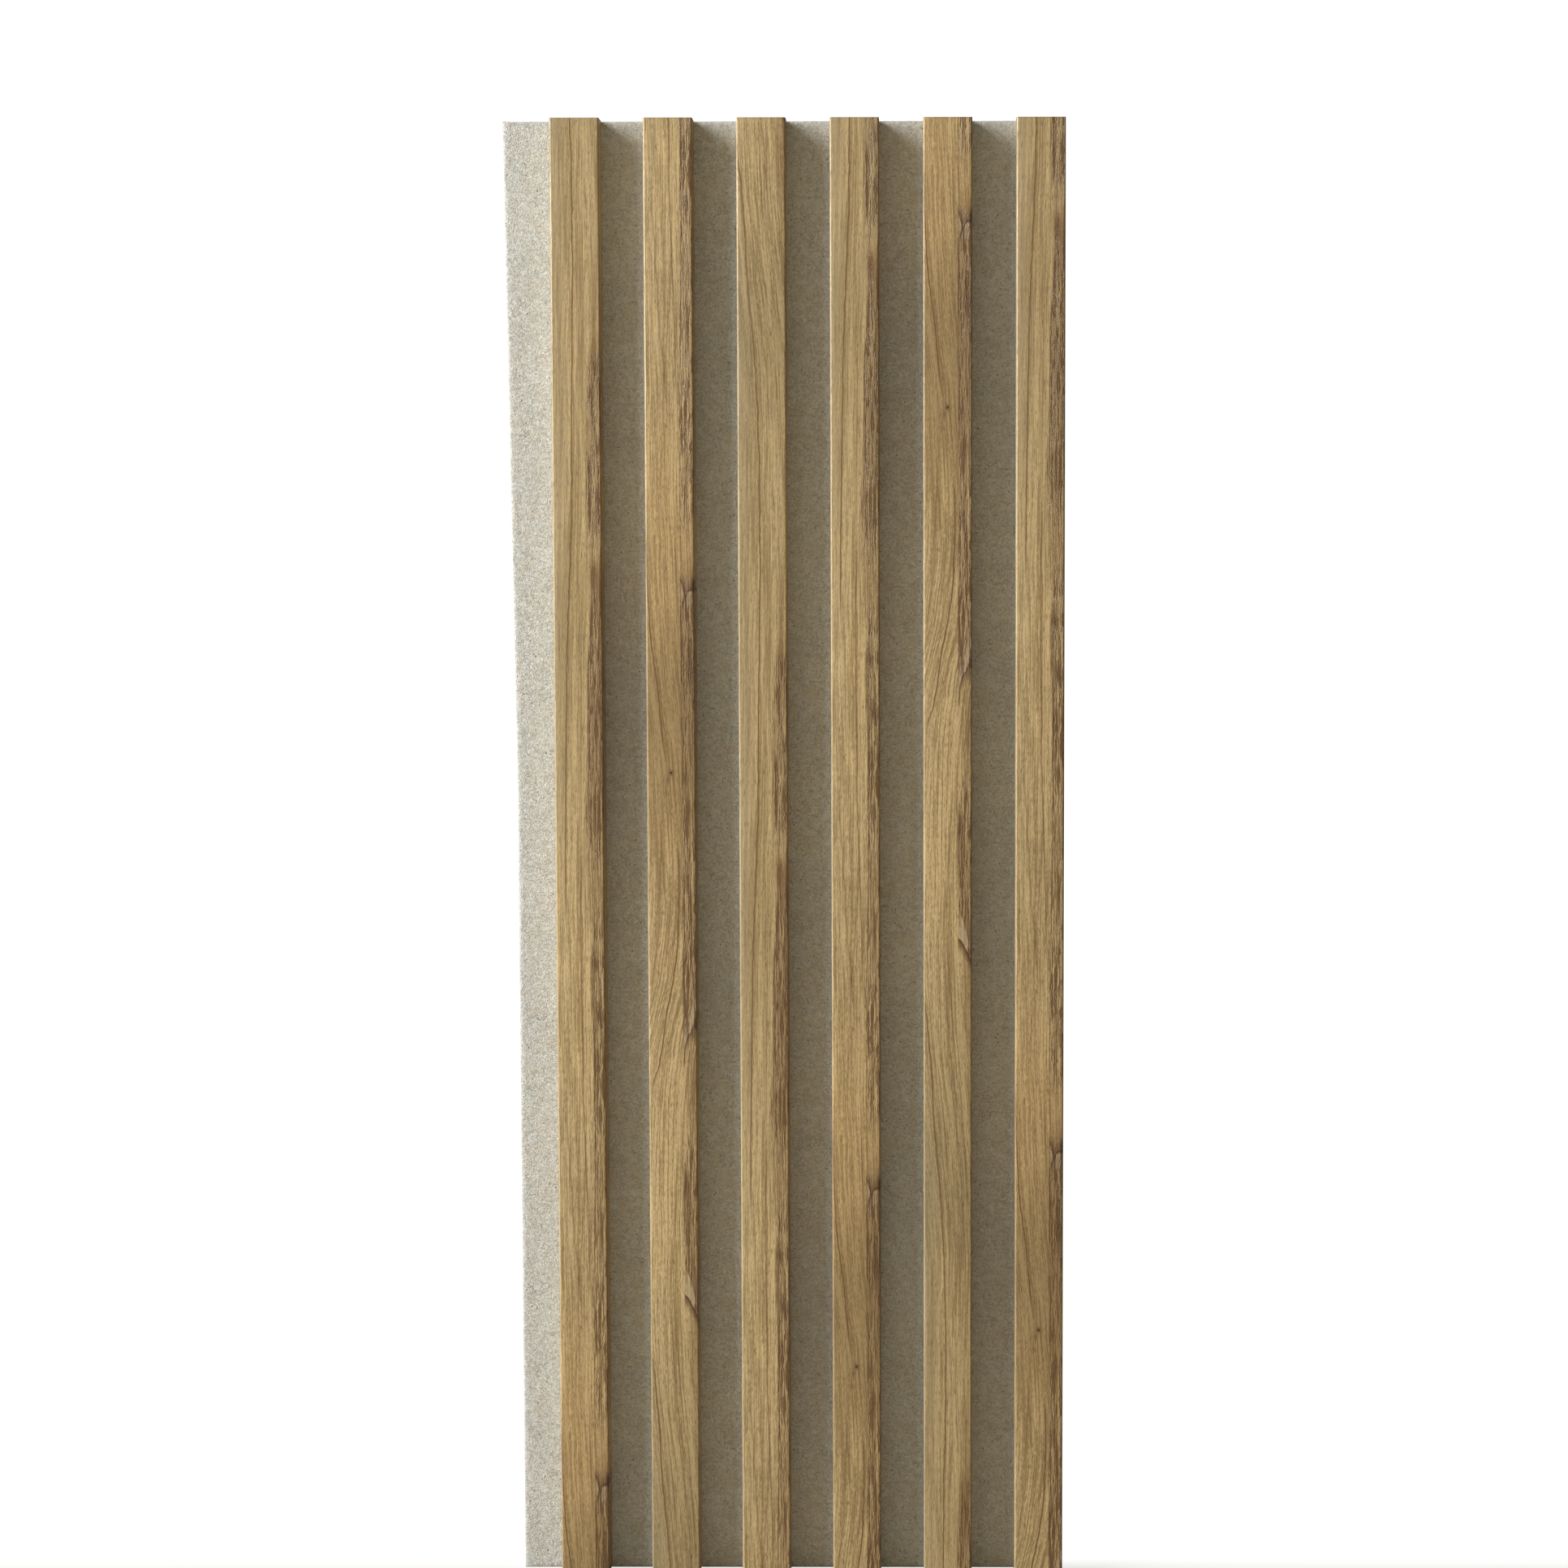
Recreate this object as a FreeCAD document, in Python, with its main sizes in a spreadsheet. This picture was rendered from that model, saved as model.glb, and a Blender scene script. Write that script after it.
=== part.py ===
"""Acoustic slat wall panel: six foil-wrapped slats glued and stapled to a felt backing.

Frame: +X across the panel, +Z up along the slats, and the slats face -Y. The origin lies on the
back face of the felt, at the middle of the slat field, where the panel meets its wall.
"""

import FreeCAD, Part

import math
import os

import Sketcher
from FreeCAD import Vector

SHEET = "Sizes"

# Driving dimensions in millimetres, and counts
SIZES = {
    "slat_count": 6,
    "slat_pitch": 50.0,
    "slat_width": 26.4,
    "slat_length": 795.0,
    "board_thickness": 16.0,
    "board_front_radius": 0.8,
    "board_back_radius": 0.5,
    "foil_thickness": 0.3,
    "foil_lap": 4.0,
    "felt_thickness": 9.0,
    "felt_flap_width": 22.3,
    "felt_flap_flare": 4.8,
    "felt_flare_height": 359.0,
    "felt_overhang": 2.0,
    "felt_edge_radius": 1.5,
    "staple_rows": 5,
    "staple_pitch": 160.0,
    "staple_crown": 10.0,
    "staple_leg": 14.0,
    "staple_wire_width": 0.95,
    "staple_wire_thickness": 0.65,
    "staple_bend_radius": 0.6,
    "staple_tip_rise": 0.6,
    "staple_sink": 1.0,
    "dimple_clearance": 0.7,
}

# Expressions that several pieces share
SLAT_DEPTH = "(Sizes.board_thickness + 2 * Sizes.foil_thickness)"
BOARD_WIDTH = "(Sizes.slat_width - 2 * Sizes.foil_thickness)"
FIELD_HALF_WIDTH = "((Sizes.slat_count - 1) * Sizes.slat_pitch / 2 + Sizes.slat_width / 2)"
FIRST_SLAT_X = "(-(Sizes.slat_count - 1) * Sizes.slat_pitch / 2)"
FIRST_STAPLE_Z = "(-(Sizes.staple_rows - 1) * Sizes.staple_pitch / 2)"
SLAT_MIDDLE = f"(Sizes.felt_thickness + {SLAT_DEPTH} / 2)"


def make_sheet(doc):
    """The spreadsheet that holds every driving dimension under its own name."""
    sheet = doc.addObject("Spreadsheet::Sheet", SHEET)
    for row, (name, value) in enumerate(SIZES.items(), start=1):
        sheet.set(f"A{row}", name)
        sheet.set(f"B{row}", str(value))
        sheet.setAlias(f"B{row}", name)
    doc.recompute()
    return sheet


def new_body(doc, label):
    body = doc.addObject("PartDesign::Body", label)
    body.Label = label
    return body


def new_sketch(body, name, role, x=None, y=None, z=None):
    """A sketch on one of the body's own origin planes, moved along its own x, y and normal z."""
    sketch = body.newObject("Sketcher::SketchObject", name)
    plane = next(f for f in body.Origin.OriginFeatures if f.Role == role)
    sketch.AttachmentSupport = [(plane, "")]
    sketch.MapMode = "FlatFace"
    for axis, value in zip("xyz", (x, y, z)):
        if value:
            sketch.setExpression(f"AttachmentOffset.Base.{axis}", value)
    return sketch


def dimension(sketch, name, constraint, expression):
    """Add a constraint and bind its value to the sheet."""
    index = sketch.addConstraint(constraint)
    sketch.renameConstraint(index, name)
    sketch.setExpression(f"Constraints.{name}", expression)


def value_of(sheet, expression):
    """What an expression on the sheet's values comes to."""
    return float(sheet.evalExpression(expression.replace("Sizes.", "")))


def start(edge):
    """The start point of a sketch's line or arc."""
    return edge, 1


def end(edge):
    """The end point of a sketch's line or arc."""
    return edge, 2


def own_axis(direction):
    """The name by which constraints know a sketch's own axis, "across" or "up"."""
    return {"across": -1, "up": -2}[direction]


def origin():
    """A sketch's own origin."""
    return start(own_axis("across"))


def join(sketch, kind, pairs):
    """Join the end of the first of each pair to the start of the second."""
    for one, other in pairs:
        sketch.addConstraint(Sketcher.Constraint(kind, *end(one), *start(other)))


def closed(edges):
    """Each edge of a closed outline with the next one."""
    return zip(edges, edges[1:] + edges[:1])


def draw_line(sketch, x1, y1, x2, y2):
    return sketch.addGeometry(Part.LineSegment(Vector(x1, y1, 0), Vector(x2, y2, 0)))


def draw_outline(sketch, places):
    """A closed outline of straight edges through the places."""
    edges = [draw_line(sketch, *one, *other) for one, other in closed(places)]
    join(sketch, "Coincident", closed(edges))
    return edges


def quarter_circle(sketch, x, y, radius, first_quarter):
    """A quarter of a circle round (x, y) that starts so many quarter turns from the sketch's x."""
    circle = Part.Circle(Vector(x, y, 0), Vector(0, 0, 1), radius)
    from_angle = first_quarter * math.pi / 2
    return sketch.addGeometry(Part.ArcOfCircle(circle, from_angle, from_angle + math.pi / 2))


def rounded_section(sketch, sheet, width, depth, front_radius, back_radius):
    """A slat section centred on the sketch: long edges rounded, front and back each with a radius."""
    w, d = value_of(sheet, width) / 2, value_of(sheet, depth) / 2
    rf, rb = value_of(sheet, front_radius), value_of(sheet, back_radius)
    back = draw_line(sketch, w - rb, d, -w + rb, d)
    back_left = quarter_circle(sketch, -w + rb, d - rb, rb, 1)
    left = draw_line(sketch, -w, d - rb, -w, -d + rf)
    front_left = quarter_circle(sketch, -w + rf, -d + rf, rf, 2)
    front = draw_line(sketch, -w + rf, -d, w - rf, -d)
    front_right = quarter_circle(sketch, w - rf, -d + rf, rf, 3)
    right = draw_line(sketch, w, -d + rf, w, d - rb)
    back_right = quarter_circle(sketch, w - rb, d - rb, rb, 0)

    join(sketch, "Tangent",
         closed([back, back_left, left, front_left, front, front_right, right, back_right]))
    sketch.addConstraint(Sketcher.Constraint("Vertical", left))
    sketch.addConstraint(Sketcher.Constraint("Vertical", right))
    sketch.addConstraint(Sketcher.Constraint("Horizontal", front))
    sketch.addConstraint(Sketcher.Constraint("Symmetric", *start(back), *end(back), own_axis("up")))
    sketch.addConstraint(Sketcher.Constraint("Equal", back_left, back_right))
    sketch.addConstraint(Sketcher.Constraint("Equal", front_left, front_right))
    dimension(sketch, "front_radius", Sketcher.Constraint("Radius", front_left, rf), front_radius)
    dimension(sketch, "back_radius", Sketcher.Constraint("Radius", back_left, rb), back_radius)
    dimension(sketch, "width",
              Sketcher.Constraint("DistanceX", *start(left), *end(right), 2 * w), width)
    dimension(sketch, "depth",
              Sketcher.Constraint("DistanceY", *start(front), *end(back), 2 * d), depth)
    dimension(sketch, "half_depth",
              Sketcher.Constraint("DistanceY", *origin(), *start(back), d), f"{depth} / 2")


def rectangle(sketch, sheet, left, bottom, right, top):
    """A rectangle with its four sides set by expressions, measured from the sketch's origin."""
    x1, y1, x2, y2 = (value_of(sheet, side) for side in (left, bottom, right, top))
    low, far, high, near = draw_outline(sketch, [(x1, y1), (x2, y1), (x2, y2), (x1, y2)])
    for side in (low, high):
        sketch.addConstraint(Sketcher.Constraint("Horizontal", side))
    for side in (far, near):
        sketch.addConstraint(Sketcher.Constraint("Vertical", side))
    for kind, side, text, value, word in (("DistanceX", near, left, x1, "left"),
                                          ("DistanceX", far, right, x2, "right"),
                                          ("DistanceY", low, bottom, y1, "bottom"),
                                          ("DistanceY", high, top, y2, "top")):
        dimension(sketch, word, Sketcher.Constraint(kind, *origin(), *start(side), value), text)


def slab(sketch, sheet, points):
    """A closed outline of straight edges with each corner set by expressions from the origin."""
    places = [(value_of(sheet, x), value_of(sheet, y)) for x, y in points]
    edges = draw_outline(sketch, places)
    for number, (edge, place, point) in enumerate(zip(edges, places, points), start=1):
        for kind, word, value, text in zip(("DistanceX", "DistanceY"), "xy", place, point):
            dimension(sketch, f"corner_{number}_{word}",
                      Sketcher.Constraint(kind, *origin(), *start(edge), value), text)


def pad(body, name, sketch, length):
    feature = body.newObject("PartDesign::Pad", name)
    feature.Profile = sketch
    feature.setExpression("Length", length)
    return feature


def pocket(body, name, sketch, length=None):
    """A pocket of the given length along the sketch's normal, or right through without one."""
    feature = body.newObject("PartDesign::Pocket", name)
    feature.Profile = sketch
    if length:
        feature.Reversed = True
        feature.setExpression("Length", length)
    else:
        feature.Type = "ThroughAll"
        feature.Midplane = True
    return feature


def repeat(body, name, features, first, second=None):
    """Repeat features in one or two directions, each an axis, a spacing and a count."""
    pattern = body.newObject("PartDesign::LinearPattern", name)
    pattern.Originals = features
    for suffix, direction in (("", first), ("2", second)):
        if direction:
            axis, spacing, count = direction
            setattr(pattern, f"Direction{suffix}", axis)
            pattern.setExpression(f"Length{suffix}", f"{spacing} * ({count} - 1)")
            pattern.setExpression(f"Occurrences{suffix}", count)
    body.Tip = pattern
    return pattern


def staple_rows(sketch):
    """The direction in which a slat's staples repeat, upwards from the lowest one's sketch."""
    return (sketch, ["N_Axis"]), "Sizes.staple_pitch", "Sizes.staple_rows"


def place_on_slat(body, number, y):
    """Put a body's origin on the middle line of a slat, half way up it."""
    body.setExpression("Placement.Base.x", f"{FIRST_SLAT_X} + {number - 1} * Sizes.slat_pitch")
    body.setExpression("Placement.Base.y", y)


def staple_sketch(body, sheet, x, y):
    """The outline of a slat's lowest staple, seen from above, with its crown's back at (x, y)."""
    sketch = new_sketch(body, "StapleOutline", "XY_Plane", x=x, y=y,
                        z=f"{FIRST_STAPLE_Z} - Sizes.staple_wire_width / 2")
    half = value_of(sheet, "Sizes.staple_crown") / 2
    leg = value_of(sheet, "Sizes.staple_leg")
    wire = value_of(sheet, "Sizes.staple_wire_thickness")
    rise = value_of(sheet, "Sizes.staple_tip_rise")
    bend = value_of(sheet, "Sizes.staple_bend_radius")

    crown = draw_line(sketch, half - bend, 0, -half + bend, 0)
    left_bend = quarter_circle(sketch, -half + bend, -bend, bend, 1)
    left_leg = draw_line(sketch, -half, -bend, -half, -leg)
    left_tip = draw_line(sketch, -half, -leg, -half + wire, -leg + rise)
    left_inner = draw_line(sketch, -half + wire, -leg + rise, -half + wire, -wire)
    crown_inner = draw_line(sketch, -half + wire, -wire, half - wire, -wire)
    right_inner = draw_line(sketch, half - wire, -wire, half - wire, -leg + rise)
    right_tip = draw_line(sketch, half - wire, -leg + rise, half, -leg)
    right_leg = draw_line(sketch, half, -leg, half, -bend)
    right_bend = quarter_circle(sketch, half - bend, -bend, bend, 0)

    join(sketch, "Coincident", ((left_leg, left_tip), (left_tip, left_inner),
                                (left_inner, crown_inner), (crown_inner, right_inner),
                                (right_inner, right_tip), (right_tip, right_leg)))
    join(sketch, "Tangent", ((crown, left_bend), (left_bend, left_leg),
                             (right_leg, right_bend), (right_bend, crown)))
    for side in (left_leg, left_inner, right_inner, right_leg):
        sketch.addConstraint(Sketcher.Constraint("Vertical", side))
    sketch.addConstraint(Sketcher.Constraint("Symmetric", *start(crown), *end(crown), own_axis("up")))
    sketch.addConstraint(Sketcher.Constraint("Symmetric", *start(left_tip), *end(right_tip), own_axis("up")))
    sketch.addConstraint(Sketcher.Constraint("Symmetric", *end(left_tip), *start(right_tip), own_axis("up")))
    sketch.addConstraint(Sketcher.Constraint("PointOnObject", *start(crown), own_axis("across")))
    sketch.addConstraint(Sketcher.Constraint("Horizontal", crown_inner))

    dimension(sketch, "bend", Sketcher.Constraint("Radius", left_bend, bend),
              "Sizes.staple_bend_radius")
    dimension(sketch, "crown_width",
              Sketcher.Constraint("DistanceX", *end(left_leg), *start(right_leg), 2 * half),
              "Sizes.staple_crown")
    dimension(sketch, "crown_thickness",
              Sketcher.Constraint("DistanceY", *start(crown_inner), *end(crown), wire),
              "Sizes.staple_wire_thickness")
    dimension(sketch, "leg_thickness",
              Sketcher.Constraint("DistanceX", *end(left_leg), *start(left_inner), wire),
              "Sizes.staple_wire_thickness")
    dimension(sketch, "leg_length",
              Sketcher.Constraint("DistanceY", *end(left_leg), *origin(), leg),
              "Sizes.staple_leg")
    dimension(sketch, "tip_rise",
              Sketcher.Constraint("DistanceY", *end(left_leg), *start(left_inner), rise),
              "Sizes.staple_tip_rise")
    return sketch


def make_core(doc, sheet, number):
    """The fibreboard bar of one slat, with the holes that its staples drive into its back."""
    body = new_body(doc, f"slat_{number}_core")
    section = new_sketch(body, "CoreSection", "XY_Plane", z="-Sizes.slat_length / 2")
    rounded_section(section, sheet, BOARD_WIDTH, "Sizes.board_thickness",
                    "Sizes.board_front_radius", "Sizes.board_back_radius")
    pad(body, "CoreBar", section, "Sizes.slat_length")
    staple = staple_sketch(body, sheet, "0", f"{SLAT_MIDDLE} - Sizes.staple_sink")
    holes = pocket(body, "StapleHoles", staple, "Sizes.staple_wire_width")
    repeat(body, "StapleHoleRow", [holes], staple_rows(staple))
    place_on_slat(body, number, f"-{SLAT_MIDDLE}")
    return body


def make_foil(doc, sheet, number):
    """The decor foil of one slat: drawn round its front and sides, and lapped onto its back."""
    body = new_body(doc, f"slat_{number}_foil")
    outside = new_sketch(body, "FoilOutside", "XY_Plane", z="-Sizes.slat_length / 2")
    rounded_section(outside, sheet, "Sizes.slat_width", SLAT_DEPTH,
                    "Sizes.board_front_radius + Sizes.foil_thickness",
                    "Sizes.board_back_radius + Sizes.foil_thickness")
    pad(body, "FoilBar", outside, "Sizes.slat_length")
    inside = new_sketch(body, "FoilInside", "XY_Plane")
    rounded_section(inside, sheet, BOARD_WIDTH, "Sizes.board_thickness",
                    "Sizes.board_front_radius", "Sizes.board_back_radius")
    pocket(body, "BoardSpace", inside)
    opening = new_sketch(body, "BackOpening", "XY_Plane")
    half_opening = "(Sizes.slat_width / 2 - Sizes.foil_lap)"
    rectangle(opening, sheet, f"-{half_opening}", "0", half_opening, "Sizes.board_thickness")
    pocket(body, "OpenBack", opening)
    place_on_slat(body, number, f"-{SLAT_MIDDLE}")
    return body


def make_staples(doc, sheet, number):
    """The staples of one slat: a flat crown behind the felt, two legs and chisel tips."""
    body = new_body(doc, f"slat_{number}_staples")
    staple = staple_sketch(body, sheet, "0", "-Sizes.staple_sink")
    lowest = pad(body, "Staple", staple, "Sizes.staple_wire_width")
    repeat(body, "StapleRow", [lowest], staple_rows(staple))
    place_on_slat(body, number, "0")
    return body


def make_felt(doc, sheet):
    """The felt sheet: its left edge stands out past the slats as the flap that the next panel meets.

    The flap's hand-cut edge runs along the slats from the bottom, and flares out towards the top.
    """
    body = new_body(doc, "felt_backing")
    outline = new_sketch(body, "FeltOutline", "XZ_Plane")
    bottom = "(-Sizes.slat_length / 2 - Sizes.felt_overhang)"
    top = "(Sizes.slat_length / 2)"
    slab(outline, sheet, [
        (f"-{FIELD_HALF_WIDTH} - Sizes.felt_flap_width", bottom),
        (FIELD_HALF_WIDTH, bottom),
        (FIELD_HALF_WIDTH, top),
        (f"-{FIELD_HALF_WIDTH} - Sizes.felt_flap_width - Sizes.felt_flap_flare", top),
        (f"-{FIELD_HALF_WIDTH} - Sizes.felt_flap_width", f"{top} - Sizes.felt_flare_height"),
    ])
    sheet_pad = pad(body, "FeltSheet", outline, "Sizes.felt_thickness")
    doc.recompute()

    soft_edges = body.newObject("PartDesign::Fillet", "SoftEdges")
    front = -value_of(sheet, "Sizes.felt_thickness")
    names = []
    for index, edge in enumerate(sheet_pad.Shape.Edges, start=1):
        if all(abs(vertex.Point.y - front) < 1e-6 for vertex in edge.Vertexes):
            names.append(f"Edge{index}")
    soft_edges.Base = (sheet_pad, names)
    soft_edges.setExpression("Radius", "Sizes.felt_edge_radius")

    dimple = new_sketch(body, "CrownDimple", "XZ_Plane")
    wire_room = "(Sizes.staple_wire_width / 2 + Sizes.dimple_clearance)"
    crown_room = "(Sizes.staple_crown / 2 + Sizes.dimple_clearance)"
    rectangle(dimple, sheet, f"{FIRST_SLAT_X} - {crown_room}", f"{FIRST_STAPLE_Z} - {wire_room}",
              f"{FIRST_SLAT_X} + {crown_room}", f"{FIRST_STAPLE_Z} + {wire_room}")
    crown_space = pocket(body, "CrownSpace", dimple,
                         "Sizes.staple_sink + Sizes.staple_wire_thickness")
    staple = staple_sketch(body, sheet, FIRST_SLAT_X, "-Sizes.staple_sink")
    holes = pocket(body, "StapleHoles", staple, "Sizes.staple_wire_width")
    across = (staple, ["H_Axis"]), "Sizes.slat_pitch", "Sizes.slat_count"
    repeat(body, "StapleField", [crown_space, holes], across, staple_rows(staple))
    return body


def check_document(doc, bodies):
    """Stop if anything in the document failed, or if a piece isn't the solid that it should be."""
    for item in doc.Objects:
        if "Invalid" in item.State or "Error" in item.State:
            raise RuntimeError(f"{item.Label} failed: {item.State}")
    for body in bodies:
        shape = body.Shape
        if shape.isNull() or not shape.isValid() or not shape.Solids:
            raise RuntimeError(f"{body.Label} has no valid solid")
        for feature in body.Group:
            if feature.isDerivedFrom("Sketcher::SketchObject") and not feature.FullyConstrained:
                raise RuntimeError(f"{body.Label}: sketch {feature.Label} isn't fully constrained")


def main():
    doc = FreeCAD.newDocument("AcousticSlatPanel")
    sheet = make_sheet(doc)
    bodies = [make_felt(doc, sheet)]
    for number in range(1, int(value_of(sheet, "Sizes.slat_count")) + 1):
        bodies.append(make_core(doc, sheet, number))
        bodies.append(make_foil(doc, sheet, number))
        bodies.append(make_staples(doc, sheet, number))
    doc.recompute()
    check_document(doc, bodies)

    os.makedirs("parts", exist_ok=True)
    for body in bodies:
        body.Shape.exportStep(os.path.join("parts", body.Label + ".step"))
        print(f"{body.Label}: {len(body.Shape.Solids)} solid(s), {body.Shape.Volume:.1f} mm3")


main()
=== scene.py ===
"""Looks of an acoustic slat wall panel: foil-wrapped slats on a felt sheet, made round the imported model.

Metres, in the model's own frame: +X across the panel, +Z up along the slats, slats facing -Y.
"""

import math

import bpy
import numpy as np
from bpy.props import FloatProperty, FloatVectorProperty, IntProperty, PointerProperty
from mathutils import Matrix, Vector
from mathutils.geometry import delaunay_2d_cdt


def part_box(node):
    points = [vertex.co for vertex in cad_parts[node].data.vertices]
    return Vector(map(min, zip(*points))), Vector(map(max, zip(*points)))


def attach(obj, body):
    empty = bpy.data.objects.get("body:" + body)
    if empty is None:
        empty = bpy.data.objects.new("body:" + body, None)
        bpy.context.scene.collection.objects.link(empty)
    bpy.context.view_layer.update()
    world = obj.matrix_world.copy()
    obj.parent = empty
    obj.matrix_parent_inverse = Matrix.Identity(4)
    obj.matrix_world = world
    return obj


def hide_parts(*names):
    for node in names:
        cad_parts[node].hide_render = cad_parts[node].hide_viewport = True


bl_info = {
    "name": "Acoustic slat wall panel",
    "version": (1, 0, 0),
    "blender": (4, 5, 0),
    "location": "3D Viewport > Sidebar > Slat Panel",
    "description": "Foil, felt, fibreboard and staple finishes for a slat wall panel, with its studio",
    "category": "Object",
}

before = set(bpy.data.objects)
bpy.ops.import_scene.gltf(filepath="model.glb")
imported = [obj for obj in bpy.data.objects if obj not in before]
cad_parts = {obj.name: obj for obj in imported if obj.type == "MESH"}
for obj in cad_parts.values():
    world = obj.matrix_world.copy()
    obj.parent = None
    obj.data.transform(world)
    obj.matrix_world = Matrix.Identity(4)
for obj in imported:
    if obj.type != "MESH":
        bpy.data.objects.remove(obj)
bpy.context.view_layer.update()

MM = 0.001
PER_METRE = 1000
PHOTO_SIDE = 1932

SLATS = range(1, 1 + sum(name.endswith("_foil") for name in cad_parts))
FELT_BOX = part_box("felt_backing")
FIRST_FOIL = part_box("slat_1_foil")
SLAT_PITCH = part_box("slat_2_foil")[0].x - FIRST_FOIL[0].x
SLAT_WIDTH = FIRST_FOIL[1].x - FIRST_FOIL[0].x
SLAT_DEPTH = FIRST_FOIL[1].y - FIRST_FOIL[0].y
SLAT_TOP = FIRST_FOIL[1].z
FELT_FRONT = FELT_BOX[0].y

# How far along the printed decor each slat's top end was cut, in millimetres
DECOR_OFFSETS = (0.0, 493.0, -161.5, 165.5, 690.0, 186.0)


# The settings that the sidebar's operators read

class SlatSettings(bpy.types.PropertyGroup):
    foil_thickness: FloatProperty(
        name="Foil thickness", description="Thickness of the decor foil",
        default=0.3 * MM, min=0.05 * MM, precision=5, unit="LENGTH")
    front_radius: FloatProperty(
        name="Front radius", description="Outer radius of the slat's two front edges",
        default=1.1 * MM, min=0.2 * MM, precision=5, unit="LENGTH")
    back_radius: FloatProperty(
        name="Back radius", description="Outer radius of the slat's two back edges",
        default=0.8 * MM, min=0.2 * MM, precision=5, unit="LENGTH")
    lap: FloatProperty(
        name="Lap", description="How far the foil is turned in behind the slat",
        default=4.0 * MM, min=0.0, precision=4, unit="LENGTH")
    decor_repeat: FloatProperty(
        name="Decor repeat", description="Length after which the printed decor comes again",
        default=1308 * MM, min=0.1, precision=4, unit="LENGTH")
    pale_wood: FloatVectorProperty(
        name="Pale wood", description="Palest tone of the printed oak",
        default=(0.54, 0.428, 0.230), size=3, subtype="COLOR", min=0, max=1)
    golden_wood: FloatVectorProperty(
        name="Golden wood", description="Middle tone of the printed oak",
        default=(0.27, 0.203, 0.095), size=3, subtype="COLOR", min=0, max=1)
    dark_wood: FloatVectorProperty(
        name="Dark wood", description="Tone of the growth lines",
        default=(0.165, 0.085, 0.030), size=3, subtype="COLOR", min=0, max=1)
    fissure: FloatVectorProperty(
        name="Fissure", description="Tone of cracks and knot hearts",
        default=(0.040, 0.022, 0.011), size=3, subtype="COLOR", min=0, max=1)
    grey_wood: FloatVectorProperty(
        name="Grey wood", description="Weathered tone beside the cracks",
        default=(0.30, 0.194, 0.086), size=3, subtype="COLOR", min=0, max=1)


class FeltSettings(bpy.types.PropertyGroup):
    colour: FloatVectorProperty(
        name="Colour", description="Colour of the felt's fibres",
        default=(0.84, 0.875, 0.85), size=3, subtype="COLOR", min=0, max=1)
    # The felt's shade is painted shade: the darker colour laid in the hollows between the fibres
    shade: FloatVectorProperty(
        name="Shade", description="Colour in the hollows between the fibres",
        default=(0.52, 0.55, 0.53), size=3, subtype="COLOR", min=0, max=1)
    relief: FloatProperty(
        name="Relief", description="Depth of the needle-punched surface",
        default=0.13 * MM, min=0, precision=5, unit="LENGTH")
    edge_radius: FloatProperty(
        name="Edge radius", description="Softness of the felt's front edges",
        default=1.5 * MM, min=0.1 * MM, precision=4, unit="LENGTH")
    cell: FloatProperty(
        name="Mesh cell", description="Mesh size where the felt shows",
        default=1.9 * MM, min=1.0 * MM, precision=4, unit="LENGTH")
    seed: IntProperty(name="Seed", description="Seed of the felt's relief", default=7)
    fibres: IntProperty(
        name="Loose fibres", description="Number of loose fibres that stand out of the felt",
        default=5200, min=0)
    fibre_length: FloatProperty(
        name="Fibre length", description="Longest loose fibre",
        default=5.0 * MM, min=0.5 * MM, precision=4, unit="LENGTH")
    fibre_radius: FloatProperty(
        name="Fibre radius", description="Radius of a loose fibre",
        default=0.035 * MM, min=0.01 * MM, precision=6, unit="LENGTH")


class BoardSettings(bpy.types.PropertyGroup):
    colour: FloatVectorProperty(
        name="Colour", description="Colour of the fibreboard",
        default=(0.42, 0.30, 0.19), size=3, subtype="COLOR", min=0, max=1)
    dark: FloatVectorProperty(
        name="Dark fibres", description="Colour of its darker fibres",
        default=(0.23, 0.15, 0.085), size=3, subtype="COLOR", min=0, max=1)


class StapleSettings(bpy.types.PropertyGroup):
    colour: FloatVectorProperty(
        name="Colour", description="Colour of the galvanised wire",
        default=(0.60, 0.61, 0.62), size=3, subtype="COLOR", min=0, max=1)
    roughness: FloatProperty(
        name="Roughness", description="Roughness of the drawn wire", default=0.34, min=0, max=1)


class StageSettings(bpy.types.PropertyGroup):
    key_power: FloatProperty(
        name="Key light", description="Power of the large soft light at the left, in watts",
        default=138.5, min=0)
    fill: FloatProperty(
        name="Fill", description="Brightness of the studio round the panel",
        default=0.292, min=0)
    floor_colour: FloatVectorProperty(
        name="Floor", description="Colour of the plain floor",
        default=(0.80, 0.80, 0.79), size=3, subtype="COLOR", min=0, max=1)
    floor_bounce: FloatVectorProperty(
        name="Floor bounce", description="Colour with which the floor lights the panel from below",
        default=(0.34, 0.305, 0.25), size=3, subtype="COLOR", min=0, max=1)
    lens: FloatProperty(
        name="Lens", description="Focal length of the camera in millimetres",
        default=77.35, min=10)


# Node trees written as expressions

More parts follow.
